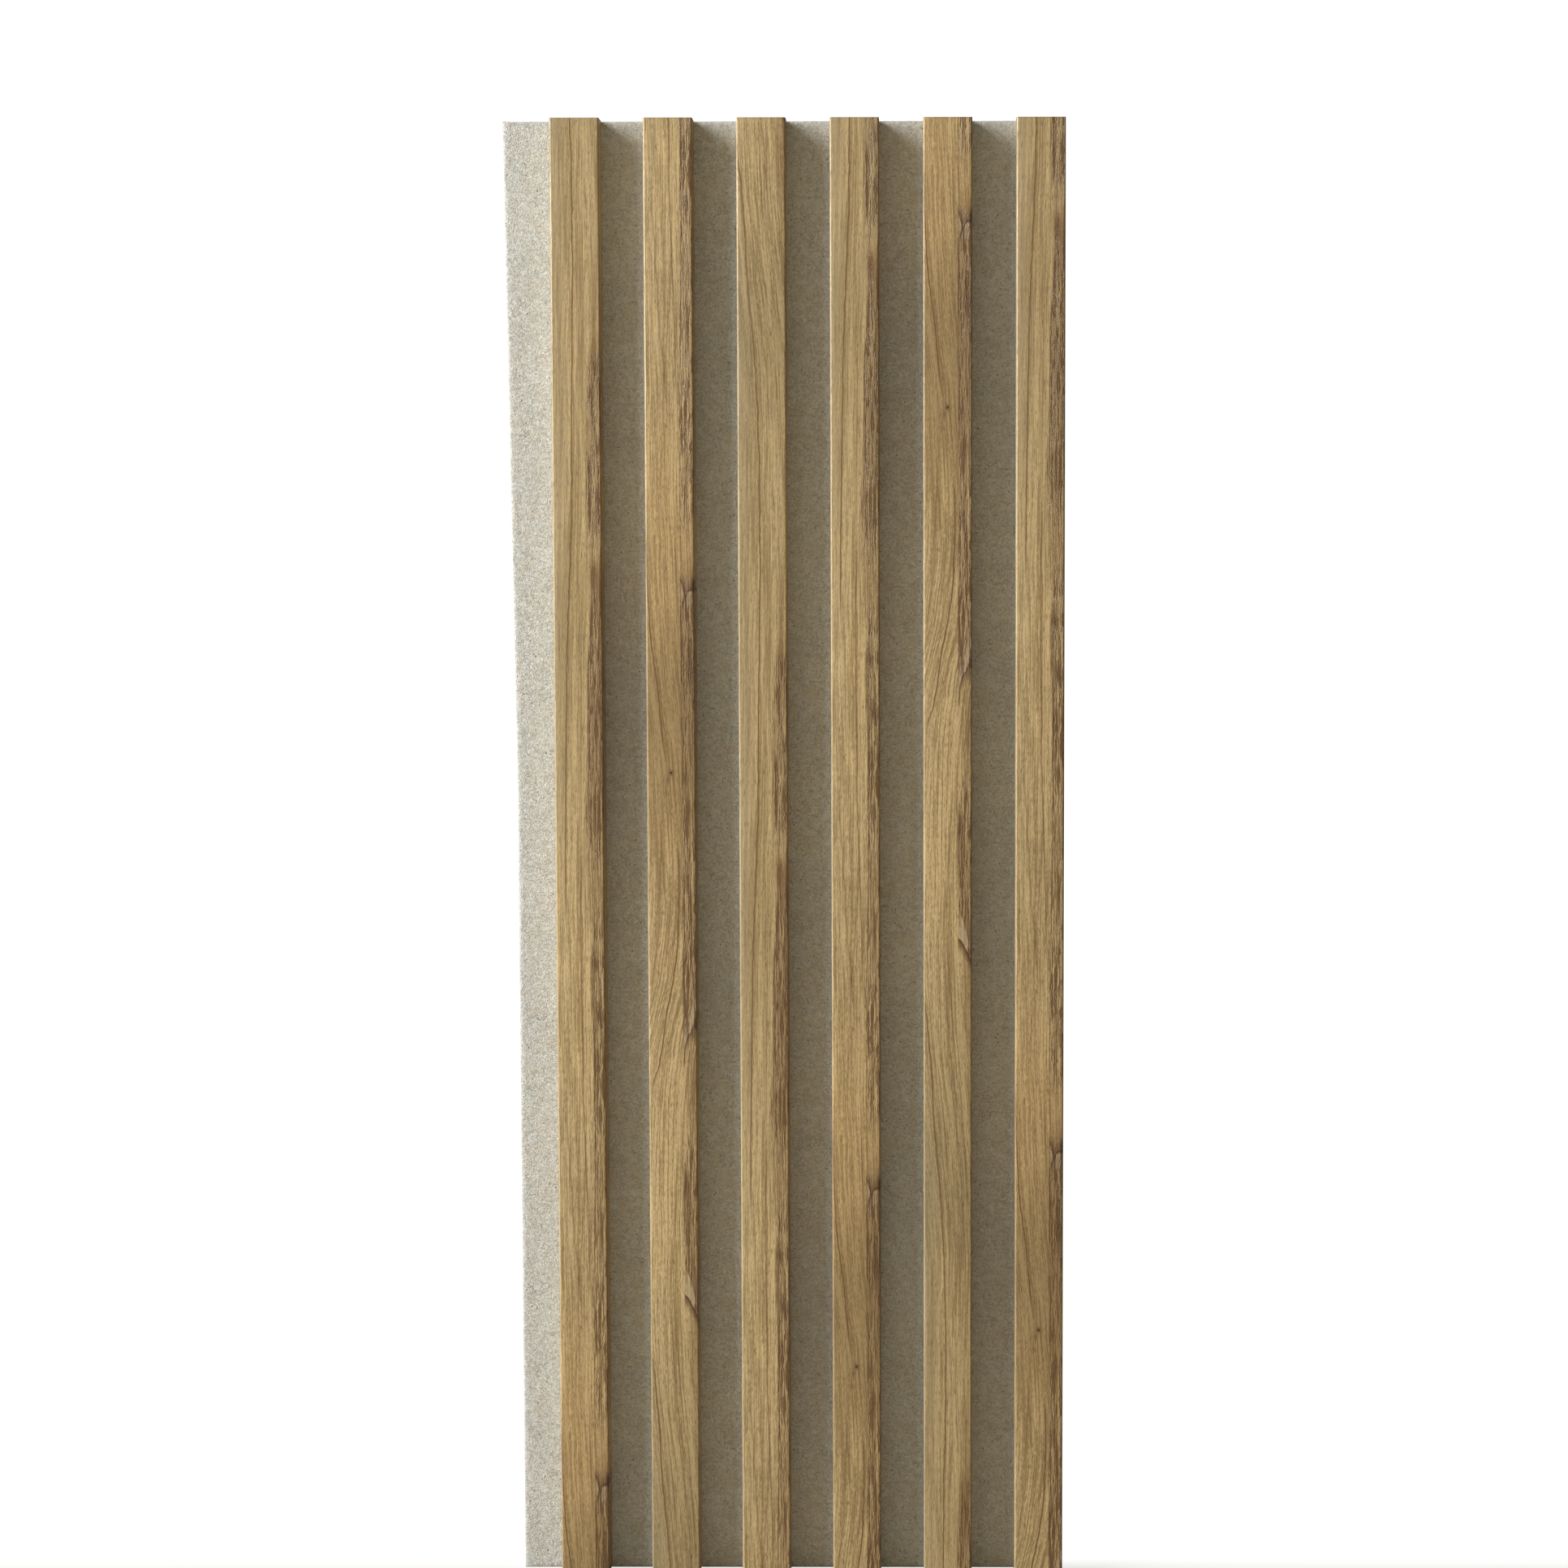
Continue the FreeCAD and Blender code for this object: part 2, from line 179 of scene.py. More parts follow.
class Term:
    """A socket that takes part in Python expressions."""

    def __init__(self, graph, socket):
        self.graph, self.socket = graph, socket

    def math(self, operation, *values):
        return self.graph.node("ShaderNodeMath", {"operation": operation}, dict(enumerate(values)))

    def __add__(self, other):
        return self.math("ADD", self, other)

    def __sub__(self, other):
        return self.math("SUBTRACT", self, other)

    def __rsub__(self, other):
        return self.math("SUBTRACT", other, self)

    def __mul__(self, other):
        return self.math("MULTIPLY", self, other)

    def __truediv__(self, other):
        return self.math("DIVIDE", self, other)

    def __pow__(self, other):
        return self.math("POWER", self, other)

    def __abs__(self):
        return self.math("ABSOLUTE", self)

    def __neg__(self):
        return self.math("MULTIPLY", self, -1.0)

    __radd__ = __add__
    __rmul__ = __mul__

    def at_most(self, other):
        return self.math("MINIMUM", self, other)

    def at_least(self, other):
        return self.math("MAXIMUM", self, other)

    def fract(self):
        return self.math("FRACT", self)

    def whole(self):
        return self.math("FLOOR", self)

    def step(self, low, high):
        """0 below low and 1 above high with a smooth rise between; it falls where low is above high."""
        swap = low > high
        ends = (high, low) if swap else (low, high)
        rise = self.graph.node("ShaderNodeMapRange", {"interpolation_type": "SMOOTHSTEP"},
                               {"Value": self, "From Min": ends[0], "From Max": ends[1]})
        return 1 - rise if swap else rise

    def near(self, middle, width):
        """1 at the middle, and 0 at more than the width from it."""
        return abs(self - middle).step(width, 0.0)


class Graph:
    """A node tree of either kind."""

    def __init__(self, tree):
        self.tree = tree

    def node(self, kind, settings=None, inputs=None, output=0):
        """A node with its settings made first, then the values or links of its sockets."""
        made = self.tree.nodes.new(kind)
        for name, value in (settings or {}).items():
            if name in ("points", "corners"):
                fill_curve(made.mapping, value, name == "corners")
            else:
                setattr(made, name, value)
        self.feed(made, inputs or {})
        return Term(self, made.outputs[output])

    def feed(self, node, inputs):
        """Link or set the node's inputs; one whose value is None is left as it is."""
        for key, value in inputs.items():
            if isinstance(value, Term):
                self.tree.links.new(value.socket, node.inputs[key])
            elif value is not None:
                node.inputs[key].default_value = value

    def vector(self, x=0.0, y=0.0, z=0.0):
        return self.node("ShaderNodeCombineXYZ", None, {"X": x, "Y": y, "Z": z})

    def split(self, vector):
        return [self.node("ShaderNodeSeparateXYZ", None, {0: vector}, axis) for axis in range(3)]


class Finish(Graph):
    """The node tree of one material."""

    def __init__(self, name):
        self.material = bpy.data.materials.new(name)
        self.material.use_nodes = True
        super().__init__(self.material.node_tree)
        self.tree.nodes.clear()

    def place_on_object(self):
        """The place on the object, in metres."""
        return self.node("ShaderNodeTexCoord", None, None, "Object")

    def millimetres(self, vector):
        """The three parts of a place, in millimetres."""
        return [part * PER_METRE for part in self.split(vector)]

    def noise(self, vector, scale=1.0, detail=2.0, roughness=0.5):
        """Noise from 0 to 1 about a mean of a half."""
        return self.node("ShaderNodeTexNoise", None,
                         {"Vector": vector, "Scale": scale, "Detail": detail,
                          "Roughness": roughness}, "Fac")

    def mix(self, factor, first, second):
        """From the first colour to the second."""
        return self.node("ShaderNodeMix", {"data_type": "RGBA"},
                         {0: factor, 6: colour4(first), 7: colour4(second)}, 2)

    def shade(self, colour, amount):
        """A colour made darker or brighter all over by a number."""
        grey = self.node("ShaderNodeCombineColor", None, {0: amount, 1: amount, 2: amount})
        return self.node("ShaderNodeMix", {"data_type": "RGBA", "blend_type": "MULTIPLY"},
                         {0: 1.0, 6: colour4(colour), 7: grey}, 2)

    def bump(self, height, distance, strength=1.0):
        return self.node("ShaderNodeBump", None,
                         {"Height": height, "Distance": distance, "Strength": strength})

    def surface(self, colour, roughness, normal=None, **constants):
        """The shader and its output; constants are set on the shader's own sockets."""
        inputs = {"Base Color": colour, "Roughness": roughness, "Normal": normal}
        inputs.update({key.replace("_", " "): value for key, value in constants.items()})
        shader = self.node("ShaderNodeBsdfPrincipled", None, inputs)
        self.link_output(shader)
        return self.material

    def link_output(self, shader):
        output = self.tree.nodes.new("ShaderNodeOutputMaterial")
        self.feed(output, {"Surface": shader})


def colour4(value):
    return value if isinstance(value, Term) else (*value, 1.0)


def fill_curve(mapping, points, sharp=False):
    """Draw a curve through the points, with sharp corners or smooth."""
    curve = mapping.curves[0]
    while len(curve.points) < len(points):
        curve.points.new(0.5, 0.5)
    for point, place in zip(curve.points, points):
        point.location = place
        point.handle_type = "VECTOR" if sharp else "AUTO"
    mapping.update()


# The decor as a print designer would draw it: places in millimetres, across the slat's front from
# its left edge and along the printed web from slat 1's top end. Each table gives places along the web
# and the value there.

# Tones of the print beside those of the settings, with the painted highlight of the left fold and the
# painted shade of the right side
WARM_WOOD = (0.42, 0.278, 0.115)
OLIVE_WOOD = (0.40, 0.338, 0.205)
RED_STAIN = (0.23, 0.122, 0.042)
RED_PATCH = (0.19, 0.092, 0.030)
BARK_SHADE = (0.155, 0.082, 0.032)
BARK_PALE = (0.50, 0.42, 0.31)
PALE_FIBRES = (0.52, 0.40, 0.215)
LEFT_FOLD_HIGHLIGHT = (0.62, 0.505, 0.31)
RIGHT_FOLD = (0.66, 0.50, 0.32)
RIGHT_SIDE_SHADE = (0.13, 0.066, 0.022)

# Where the band's left edge runs across the slat
BAND_EDGE = ((0, 18.6), (95, 25.5), (122, 20.0), (140, 18.6), (218, 18.4), (262, 19.4), (300, 18.2),
             (360, 17.6), (392, 16.0), (436, 18.0), (470, 19.0), (560, 19.2), (620, 18.0),
             (654, 18.6), (760, 18.7), (872, 18.9), (985, 19.0), (1030, 20.4), (1060, 18.6),
             (1110, 19.2), (1145, 25.0), (1190, 23.5), (1250, 21.0), (1308, 18.6))

# How dark the band is stained
BAND_DARKNESS = ((0, 0.14), (50, 0.22), (80, 0.38), (120, 0.74), (150, 0.58), (200, 0.33),
                 (228, 0.24), (248, 0.90), (262, 0.62), (275, 0.30), (330, 0.60), (370, 0.52),
                 (420, 0.46), (450, 0.18), (490, 0.12), (530, 0.05), (590, 0.34), (650, 0.14),
                 (700, 0.08), (735, 0.28), (752, 0.62), (785, 0.66), (815, 0.32), (850, 0.16),
                 (885, 0.05), (925, 0.30), (975, 0.36), (990, 0.25), (1015, 0.30), (1050, 0.22),
                 (1075, 0.45), (1112, 0.60), (1130, 0.95), (1160, 0.80), (1190, 0.30), (1230, 0.08),
                 (1308, 0.08))

# How much of the band is cracked
BAND_CRACKS = ((0, 0.0), (120, 0.1), (150, 0.65), (215, 0.55), (235, 0.2), (270, 0.75), (330, 0.95),
               (375, 0.85), (410, 0.25), (440, 0.40), (490, 0.80), (545, 0.50), (600, 0.30),
               (640, 0.4), (672, 0.75), (700, 0.40), (735, 0.15), (752, 0.85), (785, 0.75),
               (820, 0.3), (880, 0.35), (925, 1.0), (978, 0.90), (1000, 0.2), (1060, 0.45),
               (1085, 0.8), (1135, 0.95), (1150, 0.2), (1230, 0.1), (1308, 0.0))

# How red the band's stain is, against grey
BAND_RED = ((0, 0.5), (230, 0.6), (250, 1.0), (275, 0.9), (340, 0.6), (420, 0.4), (560, 0.1),
            (640, 0.3), (730, 0.5), (755, 0.0), (800, 0.2), (880, 0.4), (960, 0.1), (1010, 0.6),
            (1080, 0.5), (1130, 0.0), (1170, 0.4), (1308, 0.5))

# How olive the left part of the slat is
LEFT_OLIVE = ((0, 0.75), (120, 0.62), (250, 0.70), (330, 0.55), (436, 0.30), (560, 0.16), (700, 0.0),
              (880, 0.05), (1000, 0.15), (1150, 0.08), (1230, 0.45), (1308, 0.75))

# How wide the change from the plain wood to the band is, in millimetres
BAND_SOFTNESS = ((0, 3.0), (80, 4.5), (135, 3.2), (160, 1.4), (200, 0.8), (228, 2.2), (262, 1.4),
                 (290, 0.6), (370, 0.8), (410, 2.4), (470, 1.6), (560, 1.2), (630, 1.4), (660, 0.6),
                 (860, 0.6), (890, 0.9), (925, 0.5), (990, 0.5), (1030, 2.5), (1070, 0.8),
                 (1110, 0.5), (1140, 0.8), (1190, 3.5), (1308, 3.0))

# How warm the ground is
WARMTH = ((0, 0.22), (218, 0.20), (436, 0.28), (600, 0.36), (720, 0.85), (830, 1.0), (900, 0.60),
          (1000, 0.45), (1100, 0.38), (1200, 0.28), (1308, 0.22))

# Overall tone: paler above 1, darker below
TONE = ((0, 1.17), (215, 1.31), (330, 1.26), (480, 1.36), (610, 1.20), (690, 1.26), (745, 1.17),
        (818, 0.83), (900, 1.13), (1110, 1.31), (1200, 1.10), (1268, 0.96), (1308, 1.17))

# How strongly the fine streaks show
CONTRAST = ((0, 0.70), (200, 0.58), (330, 0.64), (480, 0.90), (620, 1.10), (700, 1.30), (850, 1.5),
            (950, 1.45), (1040, 1.2), (1200, 1.0), (1308, 0.70))

# How far the grain's flow has moved sideways
FLOW = ((0, 0.0), (110, -0.6), (218, -1.6), (436, -4.2), (600, -4.6), (740, -3.2), (846, 4.8),
        (900, 6.6), (950, 3.4), (1030, -9.0), (1100, -10.6), (1160, -9.6), (1270, -1.6), (1308, 0.0))

# Growth lines: places along and across, width and darkness
GROWTH_LINES = (
    (((0, 11.2), (60, 11.9), (140, 10.9), (218, 10.0), (232, 9.4), (283, 7.4), (340, 6.3), (440, 5.2)),
     0.36, 0.78),
    (((0, 5.0), (120, 4.5), (300, 3.2)), 0.9, 0.22),
    (((60, 14.6), (200, 14.0), (330, 12.8), (420, 12.0)), 0.9, 0.12),
    (((380, 14.2), (440, 13.4), (490, 13.9), (540, 14.3), (600, 16.2), (650, 17.2)), 0.38, 0.58),
    (((520, 4.0), (560, 5.8), (610, 8.8), (660, 12.0)), 0.55, 0.38),
    (((560, 15.0), (610, 12.5), (654, 9.6)), 0.45, 0.34),
    (((700, 0.0), (760, 1.8), (784, 4.2), (802, 6.6), (822, 8.2), (839, 10.6), (846, 13.0)),
     0.40, 0.82),
    (((838, 12.6), (852, 15.2), (868, 18.2)), 0.4, 0.35),
    (((690, 15.6), (740, 16.8), (780, 17.8)), 0.34, 0.45),
    (((872, 15.6), (892, 16.9), (930, 16.4), (946, 15.2), (974, 10.3), (1007, 5.2), (1028, 0.8)),
     0.40, 0.85),
    (((860, 8.0), (905, 6.6), (960, 2.6), (985, 0.2)), 0.5, 0.34),
    (((1128, 12.8), (1165, 14.8), (1200, 16.8)), 0.32, 0.5),
    (((1140, 12.0), (1190, 13.6), (1215, 14.6)), 0.36, 0.42),
    (((1152, 0.0), (1176, 1.8), (1198, 3.9), (1240, 6.2), (1272, 9.2), (1308, 11.2)), 0.45, 0.72),
    (((1040, 17.8), (1060, 15.2), (1084, 14.0), (1110, 12.8)), 0.5, 0.36),
    (((436, 20.6), (520, 20.2), (600, 21.4)), 0.4, 0.4),
)

# Soft patches: along, across, half length, half width, darkness and redness
PATCHES = (
    (245, 22.2, 12.0, 2.6, 0.85, 0.9),
    (268, 20.3, 13.0, 1.0, 0.80, 1.0),
    (258, 25.6, 9.0, 1.2, 0.60, 0.4),
    (136, 22.6, 34.0, 3.4, 0.40, 0.5),
    (743.2, 26.2, 4.4, 1.7, 1.00, 0.0),
    (753.5, 19.7, 3.6, 0.45, 1.00, 0.0),
    (725, 19.3, 14.0, 0.4, 0.55, 0.0),
    (788, 24.6, 22.0, 3.2, 0.55, 0.0),
    (982.5, 25.8, 3.8, 1.6, 1.00, 0.0),
    (1002, 19.3, 7.0, 0.45, 0.75, 0.2),
    (848, 11.3, 4.6, 1.1, 0.75, 0.4),
    (1141, 24.8, 6.0, 1.8, 0.70, 0.0),
    (1118, 19.6, 10.0, 0.6, 0.70, 0.0),
    (488, 24.4, 11.0, 0.5, 0.95, 0.0),
    (286.5, 15.1, 2.2, 0.7, 0.55, 0.6),
    (1080, 20.5, 22.0, 2.2, 0.45, 0.7),
    (1047, 21.3, 7.0, 0.4, 0.80, 0.0),
    (1060, 18.2, 9.0, 0.4, 0.65, 0.2),
    (1163, 23.4, 40.0, 4.0, 0.42, 0.5),
    (92, 23.4, 30.0, 3.8, 0.34, 0.5),
)

# Edges that run across the band: along against across, how strong, and the side that is cracked,
# 1 for further along the web
BARK_EDGES = (
    (((18.2, 739.0), (19.2, 741.5), (20.2, 745.2), (21.4, 749.8), (22.1, 748.2), (22.7, 746.2),
      (23.6, 745.4), (26.4, 745.0)), 0.9, 1),
    (((18.6, 1004.0), (19.3, 998.0), (19.8, 994.0), (20.7, 989.9), (22.5, 987.0), (24.0, 984.3),
      (25.2, 979.5), (26.4, 976.5)), 0.8, -1),
    (((18.4, 1129.0), (19.0, 1132.0), (20.9, 1133.6), (23.6, 1138.6), (25.5, 1143.0),
      (26.4, 1146.5)), 0.9, -1),
)
# Knots: along, across and radius
KNOTS = ((844.3, 13.3, 1.15), )
# How far from its ends a growth line fades out
LINE_FADE = 26


class Decor(Finish):
    """The printed web. Each step draws over the colour so far; marks and black are laid on later."""

    def __init__(self, settings):
        super().__init__("wood_decor_foil")
        self.settings = settings
        web = self.node("ShaderNodeUVMap", {"uv_map": "decor"})
        self.across, self.along = self.millimetres(web)[:2]
        self.repeat = settings.decor_repeat / MM
        self.turn = (self.along / self.repeat).fract()
        self.place = self.turn * self.repeat
        self.sway = self.noise_about_0(14, 55, 3.1, 2.0) * 3.2
        self.flowing = self.across - self.profile(FLOW, -14.0, 14.0) + self.sway
        self.pen = self.across + self.noise_about_0(4, 8, 8.4, 3.0) * 1.5
        self.broad = self.streaks(6.0, 170.0, 1.7, 1.0)
        self.bands = self.streaks(1.6, 95.0, 5.2, 3.0, 0.6)
        self.fine = self.streaks(0.50, 26.0, 9.6, 2.0, 0.6)
        self.hair = self.streaks(0.55, 2.4, 14.2, 2.0, 0.65)
        self.thread = self.streaks(0.85, 48.0, 17.9, 2.0, 0.6)
        self.rough_edge = self.noise_about_0(1.1, 3.0, 40.0, 3.0)

    def noise_about_0(self, wide, long, seed, detail):
        """Noise with cells of that width across and length along the web."""
        place = self.vector(self.across / wide, self.along / long, seed)
        return self.noise(place, 1.0, detail) - 0.5

    def streaks(self, wide, long, seed, detail=2.0, roughness=0.5, at=None):
        """Noise drawn out along the web, which flows with the grain unless it is placed elsewhere."""
        place = self.vector((at or self.flowing) / wide, self.along / long, seed)
        return self.noise(place, 1.0, detail, roughness)

    def profile(self, points, low=0.0, high=1.0):
        """A value along the web that passes through the given places."""
        drawn = [(s / self.repeat, (value - low) / (high - low)) for s, value in points]
        if drawn[0][0] > 0:
            drawn.insert(0, (0.0, drawn[0][1]))
        if drawn[-1][0] < 1:
            drawn.append((1.0, drawn[-1][1]))
        curve = self.node("ShaderNodeFloatCurve", {"points": drawn}, {"Value": self.turn})
        return curve * (high - low) + low

    def paint(self, amount, tone):
        self.colour = self.mix(amount, self.colour, tone)

    def lay_ground(self):
        """Broad tone, growth rings, bands and fine streaks."""
        ring = (self.flowing / 2.3 + (self.streaks(4.0, 80.0, 2.2, 2.0) - 0.5) * 7.0).fract()
        ring = ring * ring * ring.step(1.0, 0.9) * self.streaks(2.6, 48.0, 6.6, 2.0).step(0.34, 0.68)
        contrast = self.profile(CONTRAST, 0.0, 2.0)
        streaky = ((self.bands - 0.5) * 1.45 + (self.fine - 0.5) * 2.2 + (self.hair - 0.5) * 1.2
                   + (self.thread - 0.5) * 1.6)
        tone = streaky * contrast + (self.broad - 0.5) * 1.2 - ring * 0.5 + 0.60
        self.colour = self.mix(tone.step(0.0, 1.0), self.settings.golden_wood, self.settings.pale_wood)
        self.paint(self.profile(WARMTH) * 0.6, WARM_WOOD)
        grain = self.thread * 0.36 + self.fine * 0.38 + self.hair * 0.48 - 0.61
        self.colour = self.shade(self.colour, self.profile(TONE, 0.0, 2.0) * (grain * contrast + 1.0))
        self.paint(self.profile(LEFT_OLIVE) * self.across.step(11.0, 3.0) * (0.35 + self.broad * 0.5),
                   OLIVE_WOOD)

    def draw_growth_lines(self):
        """Thin lines, softly shaded at their right; those at an end of the repeat run on."""
        lines = 0.0
        for points, width, strength in GROWTH_LINES:
            first, last = points[0][0], points[-1][0]
            starts = self.place.step(first - 1, first + LINE_FADE) if first > 0 else 1.0
            ends = self.place.step(last + 1, last - LINE_FADE) if last < self.repeat - 1 else 1.0
            offset = self.pen - self.profile(points, -4.0, 30.0)
            core = abs(offset).step(width * 1.5, width * 0.25)
            halo = offset.step(width * 5, 0.0) * offset.step(-width * 1.2, 0.0)
            lines = (core + halo * 0.36) * (starts * ends) * strength + lines
        self.marks = lines * (0.50 + self.fine * 1.0)

    def draw_band(self):
        """The band at the right: darker and cracked, its cracks wriggling along the grain."""
        offset = self.pen - self.profile(BAND_EDGE, 10.0, 30.0)
        softness = self.profile(BAND_SOFTNESS, 0.0, 8.0)
        darkness = self.profile(BAND_DARKNESS)
        band = (offset / softness).step(-0.35, 1.0)
        streaky = darkness * (0.25 + self.streaks(1.2, 40.0, 21.3, 2.0) * 1.2)
        stain = self.mix(self.profile(BAND_RED), self.settings.grey_wood, RED_STAIN)
        self.paint((band * streaky * 0.8).at_most(0.95), stain)
        rim = (abs(offset).step(0.42, 0.05) * (0.15 + darkness * 0.75)
               * (1.35 - softness * 0.6).at_least(0.0).at_most(1.0))
        wriggling = self.across + self.sway * 0.35 + self.noise_about_0(1.8, 4.5, 12.4, 2.0) * 1.5
        weave = self.streaks(0.55, 14.0, 31.0, 1.0, 0.5, wriggling)
        long_weave = self.streaks(0.62, 45.0, 35.0, 1.0, 0.5, wriggling)
        cracked = self.profile(BAND_CRACKS)
        short, long = weave + cracked * 0.06, long_weave + cracked * 0.06
        cracks = ((short.step(0.56, 0.66) + long.step(0.55, 0.62)).at_most(1.0)
                  * cracked.step(0.05, 0.4) * band)
        self.pale_fibres = (weave * 0.5 + long_weave * 0.5).step(0.47, 0.36) * cracked * band
        self.marks = self.marks + rim + cracks
        self.black = cracks * 0.22
        self.cracks, self.weave = cracks, weave * cracked * band

    def draw_patches(self):
        """Red patches are painted at once, and dark ones are added to the marks."""
        for s, u, half_length, half_width, strength, red in PATCHES:
            x, y = (self.pen - u) / half_width, (self.place - s) / half_length
            ring = (x * x + y * y) ** 0.5 + self.rough_edge * 0.9
            blot = ring.step(1.05, 0.25) * strength
            if red > 0.3:
                self.paint(blot * 0.85, RED_PATCH)
            else:
                self.marks = self.marks + blot * 0.8
                self.black = self.black + blot * (0.75 if strength > 0.9 else 0.35)

    def draw_bark_edges(self):
        """Dark thin edges with a smooth, stained side and a paler, cracked one."""
        for points, strength, cracked in BARK_EDGES:
            first = points[0][1]
            drawn = [((u - 18.0) / 9.0, (s - first + 30) / 60) for u, s in points]
            drawn = [(0.0, drawn[0][1]), *drawn, (1.0, drawn[-1][1])]
            curve = self.node("ShaderNodeFloatCurve", {"corners": drawn},
                              {"Value": (self.pen - 18.0) / 9.0})
            edge = (self.place - (curve * 60 + (first - 30)) + self.rough_edge * 1.6) * cracked
            inside = self.pen.step(18.2, 19.4)
            mark = edge.step(-1.5, -0.1) * edge.step(0.8, 0.0) * inside * strength
            smooth_side = edge.step(-9.0, -0.5) * edge.step(0.4, -0.2) * inside
            pale_side = edge.step(0.2, 1.2) * edge.step(16.0, 4.0) * inside
            self.paint(smooth_side * 0.85, BARK_SHADE)
            self.paint(pale_side * 0.45, BARK_PALE)
            self.marks = self.marks + mark * 0.8
            self.black = self.black + mark * 0.6

    def draw_knots(self):
        """A dark heart with a ring and a soft halo."""
        for s, u, size in KNOTS:
            x, y = (self.pen - u) / size, (self.place - s) / (size * 1.25)
            ring = (x * x + y * y) ** 0.5
            heart = ring.step(0.75, 0.35)
            self.marks = (self.marks + heart + abs(ring - 1.0).step(0.3, 0.05) * 0.5
                          + ring.step(2.2, 0.9) * 0.25)
            self.black = self.black + heart * 0.9

    def lay_on_marks(self):
        """Pale fibres, then the marks, the black of the cracks, and the pores."""
        self.pores = (self.streaks(0.26, 5.5, 51.0, 1.0, 0.5).step(0.58, 0.70)
                      * (0.15 + (1 - self.bands) * 1.4))
        self.paint(self.pale_fibres * 0.45, PALE_FIBRES)
        self.paint((self.marks * 0.86).at_most(0.93), self.settings.dark_wood)
        self.paint(self.black.at_most(0.95), self.settings.fissure)
        self.paint((self.pores * 0.75).at_most(0.85), self.settings.dark_wood)

    def wear_folds(self):
        """Paler where the foil is drawn round the slat's front edges, with a painted highlight along the
        left one and painted shade down the right side, and darker at its cut ends.
        """
        wear_and_highlight = self.streaks(1.2, 30.0, 61.0, 2.0, 0.6, self.across).step(0.40, 0.58)
        # The left fold: paler stretched foil, and a painted highlight of the light from the left
        self.paint(self.across.near(0.25, 0.75) * (0.25 + wear_and_highlight * 0.35), LEFT_FOLD_HIGHLIGHT)
        self.paint(self.across.near(26.1, 0.55) * wear_and_highlight * 0.2, RIGHT_FOLD)
        # Painted shade down the right fold and side, which turn away from the light at the left
        self.paint(self.across.near(26.5, 0.9) * 0.75, RIGHT_SIDE_SHADE)
        end = abs(self.split(self.place_on_object())[2]) - (SLAT_TOP - 0.55 * MM)
        self.paint(end.step(0.0, 0.5 * MM) * 0.55, self.settings.dark_wood)

    def satin_face(self):
        """The embossed, satin surface over the colour."""
        relief = (0.5 - self.pores * 0.5 - (self.cracks * 0.8 + self.black * 0.6).at_most(1.0)
                  + self.fine * 0.8 + self.hair * 0.45 + self.weave * 0.5)
        normal = self.bump(relief, 0.14 * MM, 0.7)
        roughness = (0.32 + (self.fine - 0.5) * 0.16
                     + (self.pores + self.black * 0.6).at_most(1.0) * 0.2)
        return self.surface(self.colour, roughness, normal, Specular_IOR_Level=0.75)


def decor_finish(settings):
    """The printed oak foil: growth lines, cracked band, knots, pores and a satin, embossed face."""
    decor = Decor(settings)
    decor.lay_ground()
    decor.draw_growth_lines()
    decor.draw_band()
    decor.draw_patches()
    decor.draw_bark_edges()
    decor.draw_knots()
    decor.lay_on_marks()
    decor.wear_folds()
    return decor.satin_face()


# The other finishes

def felt_finish(settings):
    """Needle felt: matted, curled fibres with painted shade in their hollows, a few dark specks and a soft
    sheen.
    """
    finish = Finish("felt")
    x, y, z = finish.millimetres(finish.place_on_object())
    bend = (finish.noise(finish.vector(x, y, z), 0.42, 3.0) - 0.5) * 4.2
    bend_other = (finish.noise(finish.vector(x + 40, y, z), 0.42, 3.0) - 0.5) * 4.2

    def threads(seed, across, up, scale):
        """Thin curled lines where warped noise passes its mean."""
        lines = finish.noise(finish.vector(x * across + bend, y + seed, z * up + bend_other),
                             scale, 2.0, 0.55)
        return abs(lines - 0.5).step(0.15, 0.0)

    matted = (threads(3.0, 1.0, 1.35, 0.85) * 0.8 + threads(17.0, 1.5, 0.9, 0.95) * 0.7
              + threads(29.0, 0.8, 1.8, 0.75) * 0.7)
    grain = finish.noise(finish.vector(x, y, z), 0.85, 3.0, 0.62)
    tufts = finish.noise(finish.vector(x, y, z * 1.2), 0.30, 2.0, 0.55)
    clouds = finish.noise(finish.vector(x, y, z), 0.06, 2.0)
    tone = matted * 0.30 + (grain - 0.5) * 2.6 + (tufts - 0.5) * 1.0 + (clouds - 0.5) * 0.4 + 0.26
    # Painted shade: where the relief is low, the felt takes the shade colour
    colour = finish.mix(tone.step(-0.1, 1.1), settings.shade, settings.colour)
    specks = finish.node("ShaderNodeTexVoronoi", {"feature": "F1"},
                         {"Vector": finish.vector(x, y, z), "Scale": 0.34, "Randomness": 1.0},
                         "Distance")
    speck_kind = finish.noise(finish.vector(x, y, z), 0.3, 1.0)
    speck = specks.step(0.19, 0.09) * speck_kind.step(0.52, 0.60)
    colour = finish.mix(speck * 0.75, colour, (0.13, 0.095, 0.062))
    yellow = finish.noise(finish.vector(x + 9, y, z), 0.13, 3.0, 0.6).step(0.42, 0.66)
    colour = finish.mix(yellow * 0.24, colour, (0.66, 0.57, 0.43))
    normal = finish.bump(matted * 0.4 + grain * 1.1 + tufts * 0.7 - speck * 0.4, 0.45 * MM, 1.0)
    return finish.surface(colour, 0.93, normal, Specular_IOR_Level=0.2,
                          Sheen_Weight=0.25, Sheen_Roughness=0.5)


def fibre_finish(settings):
    """A single loose polyester fibre."""
    finish = Finish("felt_fibre")
    place = finish.place_on_object()
    tone = finish.noise(place, 260.0, 2.0)
    colour = finish.mix(tone.step(0.3, 0.7), settings.colour, (0.80, 0.77, 0.69))
    return finish.surface(colour, 0.6, None, Specular_IOR_Level=0.35)


